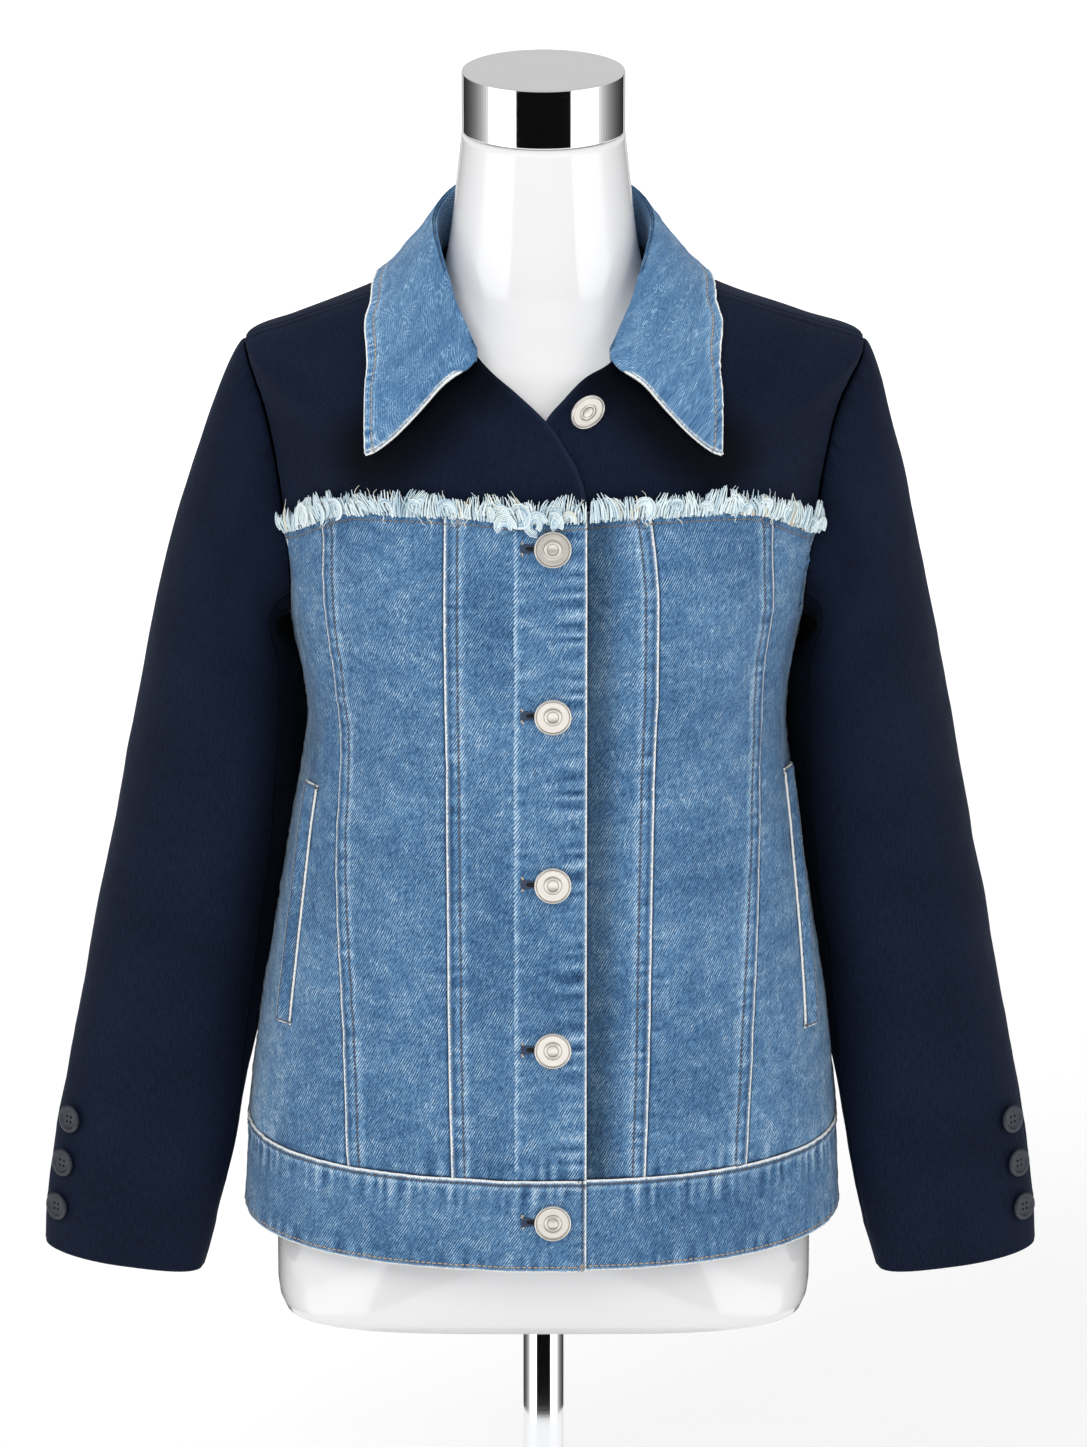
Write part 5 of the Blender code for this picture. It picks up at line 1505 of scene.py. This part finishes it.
class JACKET_OT_sleeves(bpy.types.Operator):
    """Hang the upper and under sleeves from the armholes"""

    bl_idname = "jacket.sleeves"
    bl_label = "Sleeves"

    def execute(self, context):
        (front_top, front_cuff), (back_top, back_cuff) = SLEEVE_SEAMS

        def seams(down):
            share = smoothstep(0.1, 0.9, down)
            return (np.radians(front_top + (front_cuff - front_top) * share),
                    np.radians(back_top + (back_cuff - back_top) * share))

        for word, side in (("right", -1), ("left", 1)):
            for piece, under in (("upper", False), ("under", True)):
                def place(u, v, side=side, under=under):
                    front, back = seams(1 - v)
                    start, end = (front, 2 * math.pi + back) if under else (back, front)
                    return sleeve_point(side, start + (end - start) * u, 1 - v)

                def sew(relief, room, side=side, under=under):
                    seed = 211 + side + 3 * under
                    bend = smoothstep(0, 60, room.top) * smoothstep(0, 40, room.foot)
                    relief.lift += (0.9 * waves(room.across * 0.5, room.up, seed, 5, 0.05, 0.12)
                                    + 0.25 * waves(room.across, room.up, seed + 9, 5, 0.015, 0.04)) * bend
                    seam = dict(tuck=True, amount=0.07, wave=12.0, round_off=0.5)
                    relief.sew(room.start, room.up, seed + 1, **seam)
                    relief.sew(room.end, room.up, seed + 2, **seam)
                    relief.sew(room.top, room.across, seed + 3, **dict(seam, amount=0.15, wave=9.0))
                    relief.sew(room.foot, room.across, seed + 4, height=0.25, width=32.0, amount=0.0,
                               round_off=0.5)
                    front, back = seams(1 - room.v)
                    first, last = (front, 2 * math.pi + back) if under else (back, front)
                    turn = np.degrees(first + (last - first) * room.u)
                    # Painted shade on the inner side of the sleeve, beside the jacket, fading out towards
                    # the cuff.
                    inside = smoothstep(112, 168, turn) * (1 - smoothstep(250, 300, turn))
                    relief.shade = inside * (1 - smoothstep(0.60, 0.95, 1 - room.v)) * 0.93

                u = spaced(0.10 if under else 0.22, 0.0040, FEW, FEW)
                v = spaced(0.55, 0.0042, FEW, FEW)
                sheet(f"sleeve_{piece}_{word}", "worsted", "suiting", [f"sleeve_{piece}_{word}"], place,
                      u, v, sew, SUITING_WALL, side > 0)
        return {"FINISHED"}


# ---------------------------------------------------------------- buttons
def seat(point, normal):
    """Matrix that stands a turned piece on a point, with its Z along the normal."""
    return Matrix.Translation(point) @ Vector(normal).to_track_quat("Z", "Y").to_matrix().to_4x4()


def turned(profile, matrix, steps=64, grooves=()):
    """A turned shape: its profile, (radius, height) from the axis out and back, spun about its own Z."""
    shape = bmesh.new()
    line = [shape.verts.new((radius, 0, height)) for radius, height in profile]
    edges = [shape.edges.new(pair) for pair in zip(line, line[1:])]
    bmesh.ops.spin(shape, geom=line + edges, cent=(0, 0, 0), axis=(0, 0, 1), angle=2 * math.pi,
                   steps=steps, use_merge=True, use_duplicate=False)
    bmesh.ops.remove_doubles(shape, verts=shape.verts, dist=1e-6)
    bmesh.ops.recalc_face_normals(shape, faces=shape.faces)
    layer = shape.verts.layers.float.new("edge")
    for vert in shape.verts:
        radius = math.hypot(vert.co.x, vert.co.y)
        vert[layer] = min([abs(radius - groove) / MM for groove in grooves], default=20.0)
    bmesh.ops.transform(shape, matrix=matrix, verts=shape.verts)
    return shape


def as_mesh(name, shape):
    mesh = bpy.data.meshes.new(name)
    shape.to_mesh(mesh)
    shape.free()
    return mesh


def add_turned(name, finish, nodes, profile, matrix, steps=64, grooves=()):
    return link_piece(name, as_mesh(name, turned(profile, matrix, steps, grooves)), finish, nodes)


def button_profile(radius, thick):
    """Metal button: a rolled rim, a flat dish and a small raised ring round its middle."""
    r, t = radius, thick
    ring = 0.385 * r
    return [(0, t * 0.70), (ring - 0.00085, t * 0.70), (ring - 0.0005, t * 0.76), (ring - 0.00015, t * 0.86),
            (ring + 0.00025, t * 0.86), (ring + 0.0006, t * 0.76), (ring + 0.0010, t * 0.68),
            (r * 0.62, t * 0.71), (r * 0.80, t * 0.73), (r * 0.865, t * 0.72), (r * 0.895, t * 0.70),
            (r * 0.915, t * 0.80), (r * 0.94, t * 0.93), (r * 0.962, t * 0.98), (r * 0.982, t * 0.93),
            (r * 0.996, t * 0.78), (r, t * 0.58), (r * 0.99, t * 0.34), (r * 0.95, t * 0.16),
            (r * 0.88, 0.0), (0, 0.0)]


HOLE_SHIFT = 0.0122  # from a button's middle to the middle of its buttonhole


def add_buttonhole(number, height):
    """Stitched keyhole beside a button: an oval of close stitching, its bar and the dark slit of painted
    shade.
    """
    place = on_torso(BUTTON_X - HOLE_SHIFT, height)
    normal = torso_normal(*place)
    point = torso(*place) + normal * (float(lift_of(BUTTON_X - HOLE_SHIFT)) + 0.0003)
    matrix = seat(point, normal)
    shape = bmesh.new()
    ring = bmesh.ops.create_circle(shape, segments=8, radius=0.00085)["verts"]
    bmesh.ops.transform(shape, matrix=Matrix.Translation((0.0024, 0, 0)) @ Matrix.Rotation(QUARTER, 4, "X"),
                        verts=ring)
    bmesh.ops.spin(shape, geom=shape.verts[:] + shape.edges[:], cent=(0, 0, 0), axis=(0, 0, 1),
                   angle=2 * math.pi, steps=40, use_merge=True, use_duplicate=False)
    bmesh.ops.remove_doubles(shape, verts=shape.verts, dist=1e-6)
    bmesh.ops.scale(shape, vec=(2.1, 0.74, 0.8), verts=shape.verts)
    for vert in shape.verts:  # the stitching flares at its far end
        vert.co.y *= 1.0 + 0.9 * min(max(-vert.co.x / 0.0055, 0.0), 1.0) ** 1.5
    bar = bmesh.ops.create_icosphere(shape, subdivisions=3, radius=1.0)["verts"]
    bmesh.ops.transform(shape, verts=bar, matrix=Matrix.Translation((-0.0058, 0, 0.0001))
                        @ Matrix.Diagonal((0.0011, 0.0040, 0.0008, 1)))
    bmesh.ops.recalc_face_normals(shape, faces=shape.faces)
    bmesh.ops.transform(shape, matrix=matrix, verts=shape.verts)
    link_piece(f"buttonhole_{number}", as_mesh(f"buttonhole_{number}", shape), "buttonhole_thread")
    # The slit is a dark sheet of painted shade.
    shape = bmesh.new()
    bmesh.ops.create_icosphere(shape, subdivisions=3, radius=1.0)
    bmesh.ops.transform(shape, verts=shape.verts, matrix=matrix @ Matrix.Translation((0.0012, 0, 0))
                        @ Matrix.Diagonal((0.0046, 0.0017, 0.0006, 1)))
    link_piece(f"buttonhole_slit_{number}", as_mesh(f"slit_{number}", shape), "dark_recess")
    dice, ends = random.Random(number), []
    for side in (-1, 1):
        for _ in range(5):
            foot = Vector((-0.0056 + dice.uniform(-0.0004, 0.0006),
                           side * dice.uniform(0.0026, 0.0040), 0.0006))
            way = Vector((dice.uniform(-0.0016, 0.0004), side * dice.uniform(0.0002, 0.0013), 0.0003))
            ends.append(([tuple(matrix @ (foot + way * (k / 3))) for k in range(4)], 0.00045,
                         dice.uniform(0.9, 1.0)))
    add_strands(f"buttonhole_ends_{number}", (), ends)


class JACKET_OT_buttons(bpy.types.Operator):
    """Set the metal buttons and stitch their buttonholes"""

    bl_idname = "jacket.buttons"
    bl_label = "Metal buttons"

    def execute(self, context):
        sizes, _ = settings()
        radius = sizes.button_diameter / 2
        profile = button_profile(radius, BUTTON_THICK)
        grooves = (0.385 * radius - 0.0009, 0.385 * radius + 0.0011, 0.892 * radius)
        for number, height in enumerate(BUTTON_HEIGHTS, 1):
            place = on_torso(BUTTON_X, height)
            normal = torso_normal(*place)
            point = torso(*place) + normal * (LAP + 0.0007)
            add_turned(f"metal_button_{number}", "brushed_nickel", [f"button_{number}"], profile,
                       seat(point, normal), 72, grooves)
            add_buttonhole(number, height)
        place = on_torso(*OPEN_BUTTON)
        normal = torso_normal(*place)
        tilted = unit(np.array(OPEN_BUTTON_FACE))
        add_turned("metal_button_open", "brushed_nickel", ["button_open"], profile,
                   seat(torso(*place) + normal * OPEN_BUTTON_STAND, tilted), 72, grooves)
        add_turned("metal_button_shank", "brushed_nickel", (), SHANK,
                   seat(torso(*place), normal), 24)
        return {"FINISHED"}


class JACKET_OT_cuff_buttons(bpy.types.Operator):
    """Sew three four-hole buttons on each cuff"""

    bl_idname = "jacket.cuff_buttons"
    bl_label = "Cuff buttons"

    def execute(self, context):
        sizes, _ = settings()
        r, t = sizes.cuff_button_diameter / 2, CUFF_BUTTON_THICK
        profile = [(0, t * 0.58), (r * 0.55, t * 0.58), (r * 0.62, t * 0.66), (r * 0.70, t * 0.92),
                   (r * 0.78, t), (r * 0.90, t * 0.96), (r * 0.97, t * 0.78), (r, t * 0.5),
                   (r * 0.96, t * 0.22), (r * 0.85, 0.0001), (0, 0.0001)]
        for word, side in (("right", -1), ("left", 1)):
            for number, height in enumerate(CUFF_BUTTON_HEIGHTS, 1):
                point = sleeve_ring(side, height, CUFF_BUTTON_TURN)
                around = sleeve_ring(side, height, CUFF_BUTTON_TURN + 0.01) - point
                up = sleeve_ring(side, height + 0.002, CUFF_BUTTON_TURN) - point
                normal = unit(np.cross(up, around)) * side
                matrix = seat(point + normal * 0.0009, normal)
                name = f"{word}_{number}"
                add_turned(f"horn_button_{name}", "dyed_horn", [f"cuff_button_{name}"], profile,
                           matrix)
                holes = bmesh.new()
                for x, y in ((1, 1), (1, -1), (-1, 1), (-1, -1)):
                    drill = bmesh.ops.create_circle(holes, segments=16, radius=0.00085, cap_ends=True)
                    bmesh.ops.translate(holes, verts=drill["verts"],
                                        vec=(x * 0.0016, y * 0.0016, t * 0.58 + 0.00004))
                bmesh.ops.extrude_face_region(holes, geom=holes.faces[:])
                bmesh.ops.recalc_face_normals(holes, faces=holes.faces)
                bmesh.ops.transform(holes, matrix=matrix, verts=holes.verts)
                # The holes are dark discs of painted shade.
                link_piece(f"horn_button_holes_{name}", as_mesh(f"holes_{name}", holes), "dark_recess")
        return {"FINISHED"}


# ---------------------------------------------------------------- dress form and stand
class JACKET_OT_form(bpy.types.Operator):
    """Shape the glossy limbless dress form"""

    bl_idname = "jacket.form"
    bl_label = "Dress form"

    def execute(self, context):
        columns, rows = 144, 150
        shape = bmesh.new()
        bmesh.ops.create_grid(shape, x_segments=columns, y_segments=rows, size=0.5)
        flat = np.array([vert.co[:2] for vert in shape.verts])
        levels = FORM.keys[0] + (FORM.keys[-1] - FORM.keys[0]) * (flat[:, 1] + 0.5)
        places = ring_point(FORM.at(levels), 2 * math.pi * (flat[:, 0] + 0.5))
        for vert, place in zip(shape.verts, places):
            vert.co = place
        bmesh.ops.remove_doubles(shape, verts=shape.verts, dist=1e-5)
        bmesh.ops.holes_fill(shape, edges=[edge for edge in shape.edges if edge.is_boundary], sides=0)
        bmesh.ops.recalc_face_normals(shape, faces=shape.faces)
        link_piece("form_shell", as_mesh("form_shell", shape), "white_lacquer", ["form_body"])
        return {"FINISHED"}


class JACKET_OT_stand(bpy.types.Operator):
    """Turn the chrome neck cap, flange, pole and base"""

    bl_idname = "jacket.stand"
    bl_label = "Cap and stand"

    def execute(self, context):
        def rounded(radius, low, high, edge, steps=5):
            turn = [QUARTER * i / steps for i in range(steps + 1)]
            upper = [(radius - edge + edge * math.sin(a), high - edge + edge * math.cos(a)) for a in turn]
            lower = [(radius - edge + edge * math.cos(a), low + edge - edge * math.sin(a)) for a in turn]
            hold = 0.0002  # close rings at both ends of the wall and the top keep them flat
            return [(0, high), (radius - edge - hold, high), *upper, (radius, high - edge - hold),
                    (radius, low + edge + hold), *lower, (radius - edge - hold, low), (0, low)]

        still = Matrix.Identity(4)
        low = HEM_HEIGHT + CAP_BASE
        underside = HEM_HEIGHT + FORM_BOTTOM - 0.0003
        flange = underside - 0.010
        for name, node, radius, bottom, top, edge in (
                ("cap_chrome", "neck_cap", CAP_RADIUS, low, low + CAP_HEIGHT, 0.0012),
                ("flange_chrome", "pole_flange", 0.031, flange, underside, 0.0015),
                ("pole_chrome", "pole", POLE_RADIUS, BASE_THICK + 0.0003, flange - 0.0003, 0.0004),
                ("base_chrome", "base", BASE_RADIUS, 0.0, BASE_THICK, 0.0030)):
            add_turned(name, "polished_chrome", [node], rounded(radius, bottom, top, edge),
                       still, 128)
        return {"FINISHED"}


# ---------------------------------------------------------------- stage
CAMERA_PLACE, CAMERA_AIM = Vector((0, -5.5, 2.475)), Vector((0, -0.11, 0.668))
VIEW_HEIGHT = 0.8512  # height in view at the aim's distance
FLOOR_SIZE = 30.0
# Reflection cards: degrees from the front where each starts and ends, and its brightness.
CARDS = ((0, 38, 0.004), (39, 82, 2.0), (153, 180, 0.6))
CARDS += tuple((82 + 5 * k, 87 + 5 * k, 0.85 * 0.77**k) for k in range(14))  # fading round the side


def add_card(name, radius, low, high, start, end, strength):
    """An upright studio card bent round the object, seen only in reflections; angles from the front."""
    shape = bmesh.new()
    foot = shape.verts.new((radius * math.sin(start), -radius * math.cos(start), low))
    head = shape.verts.new((radius * math.sin(start), -radius * math.cos(start), high))
    edge = shape.edges.new((foot, head))
    bmesh.ops.spin(shape, geom=[foot, head, edge], cent=(0, 0, 0), axis=(0, 0, 1), angle=end - start,
                   steps=24)
    card = bpy.data.objects.new(name, as_mesh(name, shape))
    bpy.context.scene.collection.objects.link(card)
    finish = Finish(name)
    finish.set(Base_Color=(0, 0, 0), Roughness=1.0, Specular_IOR_Level=0.0,
               Emission_Color=(1, 1, 1), Emission_Strength=strength)
    card.data.materials.append(finish.material)
    card.visible_camera = card.visible_diffuse = card.visible_shadow = card.visible_transmission = False


def add_softbox(name, place, aim, width, height, power, colour=(1, 1, 1)):
    light = bpy.data.lights.new(name, "AREA")
    light.shape, light.size, light.size_y = "RECTANGLE", width, height
    light.energy, light.color = power, colour
    lamp = bpy.data.objects.new(name, light)
    lamp.location = place
    lamp.rotation_euler = (Vector(aim) - Vector(place)).to_track_quat("-Z", "Y").to_euler()
    lamp.visible_camera = lamp.visible_glossy = False
    bpy.context.scene.collection.objects.link(lamp)


class JACKET_OT_stage(bpy.types.Operator):
    """Set the camera, the pale floor, the soft lights and the reflection cards"""

    bl_idname = "jacket.stage"
    bl_label = "Stage"

    def execute(self, context):
        _, colours = settings()
        scene = context.scene
        scene.view_settings.view_transform = "Standard"
        data = bpy.data.cameras.new("camera")
        data.sensor_fit, data.sensor_height = "VERTICAL", 36.0
        data.lens = 36.0 * (CAMERA_AIM - CAMERA_PLACE).length / VIEW_HEIGHT
        camera = bpy.data.objects.new("camera", data)
        camera.location = CAMERA_PLACE
        camera.rotation_euler = (CAMERA_AIM - CAMERA_PLACE).to_track_quat("-Z", "Y").to_euler()
        scene.collection.objects.link(camera)
        scene.camera = camera

        shape = bmesh.new()
        bmesh.ops.create_grid(shape, x_segments=8, y_segments=8, size=FLOOR_SIZE)
        floor = bpy.data.objects.new("floor", as_mesh("floor", shape))
        scene.collection.objects.link(floor)
        finish = Finish("floor")
        at = finish.place()
        far = finish.add("ShaderNodeVectorMath", {"operation": "LENGTH"}, {0: at}, output=1)
        glow = 0.20 + finish.step(far, 0.6, 4.0) * 0.50
        finish.set(Base_Color=colours.floor, Roughness=0.7,
                   Emission_Color=finish.mix(glow, (0, 0, 0), (1, 1, 1)), Emission_Strength=1.0)
        floor.data.materials.append(finish.material)

        world = bpy.data.worlds.new("studio")
        world.use_nodes = True
        world.node_tree.nodes["Background"].inputs["Color"].default_value = (1, 1, 1, 1)
        world.node_tree.nodes["Background"].inputs["Strength"].default_value = 0.66
        scene.world = world
        add_softbox("key", (-1.4, -2.6, 3.0), (0, 0, 0.65), 1.6, 1.6, 53)
        add_softbox("fill", (2.2, -2.0, 2.2), (0, 0, 0.65), 1.6, 1.6, 22)
        add_softbox("top", (0, 0.4, 3.2), (0, 0, 0.6), 2.2, 1.6, 17)
        for level, radius, low, high in (("high", 1.2, 0.44, 1.02), ("low", 0.45, 0.004, 0.21)):
            for number, (start, end, glow) in enumerate(CARDS):
                for side in (-1, 1):
                    word = f"{level}_{'left' if side > 0 else 'right'}_{number}"
                    add_card("card_" + word, radius, low, high, side * math.radians(start),
                             side * math.radians(end), glow)
        return {"FINISHED"}


# ---------------------------------------------------------------- add-on
STEPS = (JACKET_OT_stage, JACKET_OT_form, JACKET_OT_stand, JACKET_OT_welts, JACKET_OT_fronts,
         JACKET_OT_backs, JACKET_OT_waistband, JACKET_OT_yoke, JACKET_OT_fringe, JACKET_OT_collar,
         JACKET_OT_sleeves, JACKET_OT_buttons, JACKET_OT_cuff_buttons)


class JACKET_PT_panel(bpy.types.Panel):
    """Sizes, colours and the steps that build the jacket"""

    bl_idname = "JACKET_PT_panel"
    bl_label = "Denim Jacket"
    bl_space_type = "VIEW_3D"
    bl_region_type = "UI"
    bl_category = "Jacket"

    def draw(self, context):
        for group in settings():
            box = self.layout.box()
            for name in group.bl_rna.properties.keys():
                if name not in ("rna_type", "name"):
                    box.prop(group, name)
        for step in STEPS:
            self.layout.operator(step.bl_idname)


CLASSES = (JacketSizes, JacketColours, *STEPS, JACKET_PT_panel)


def register():
    for item in CLASSES:
        bpy.utils.register_class(item)
    bpy.types.Scene.jacket_sizes = bpy.props.PointerProperty(type=JacketSizes)
    bpy.types.Scene.jacket_colours = bpy.props.PointerProperty(type=JacketColours)


def unregister():
    del bpy.types.Scene.jacket_sizes, bpy.types.Scene.jacket_colours
    for item in reversed(CLASSES):
        bpy.utils.unregister_class(item)


def main():
    register()
    for step in STEPS:
        group, name = step.bl_idname.split(".")
        getattr(getattr(bpy.ops, group), name)()
    bpy.context.view_layer.update()


if __name__ == "__main__":
    main()
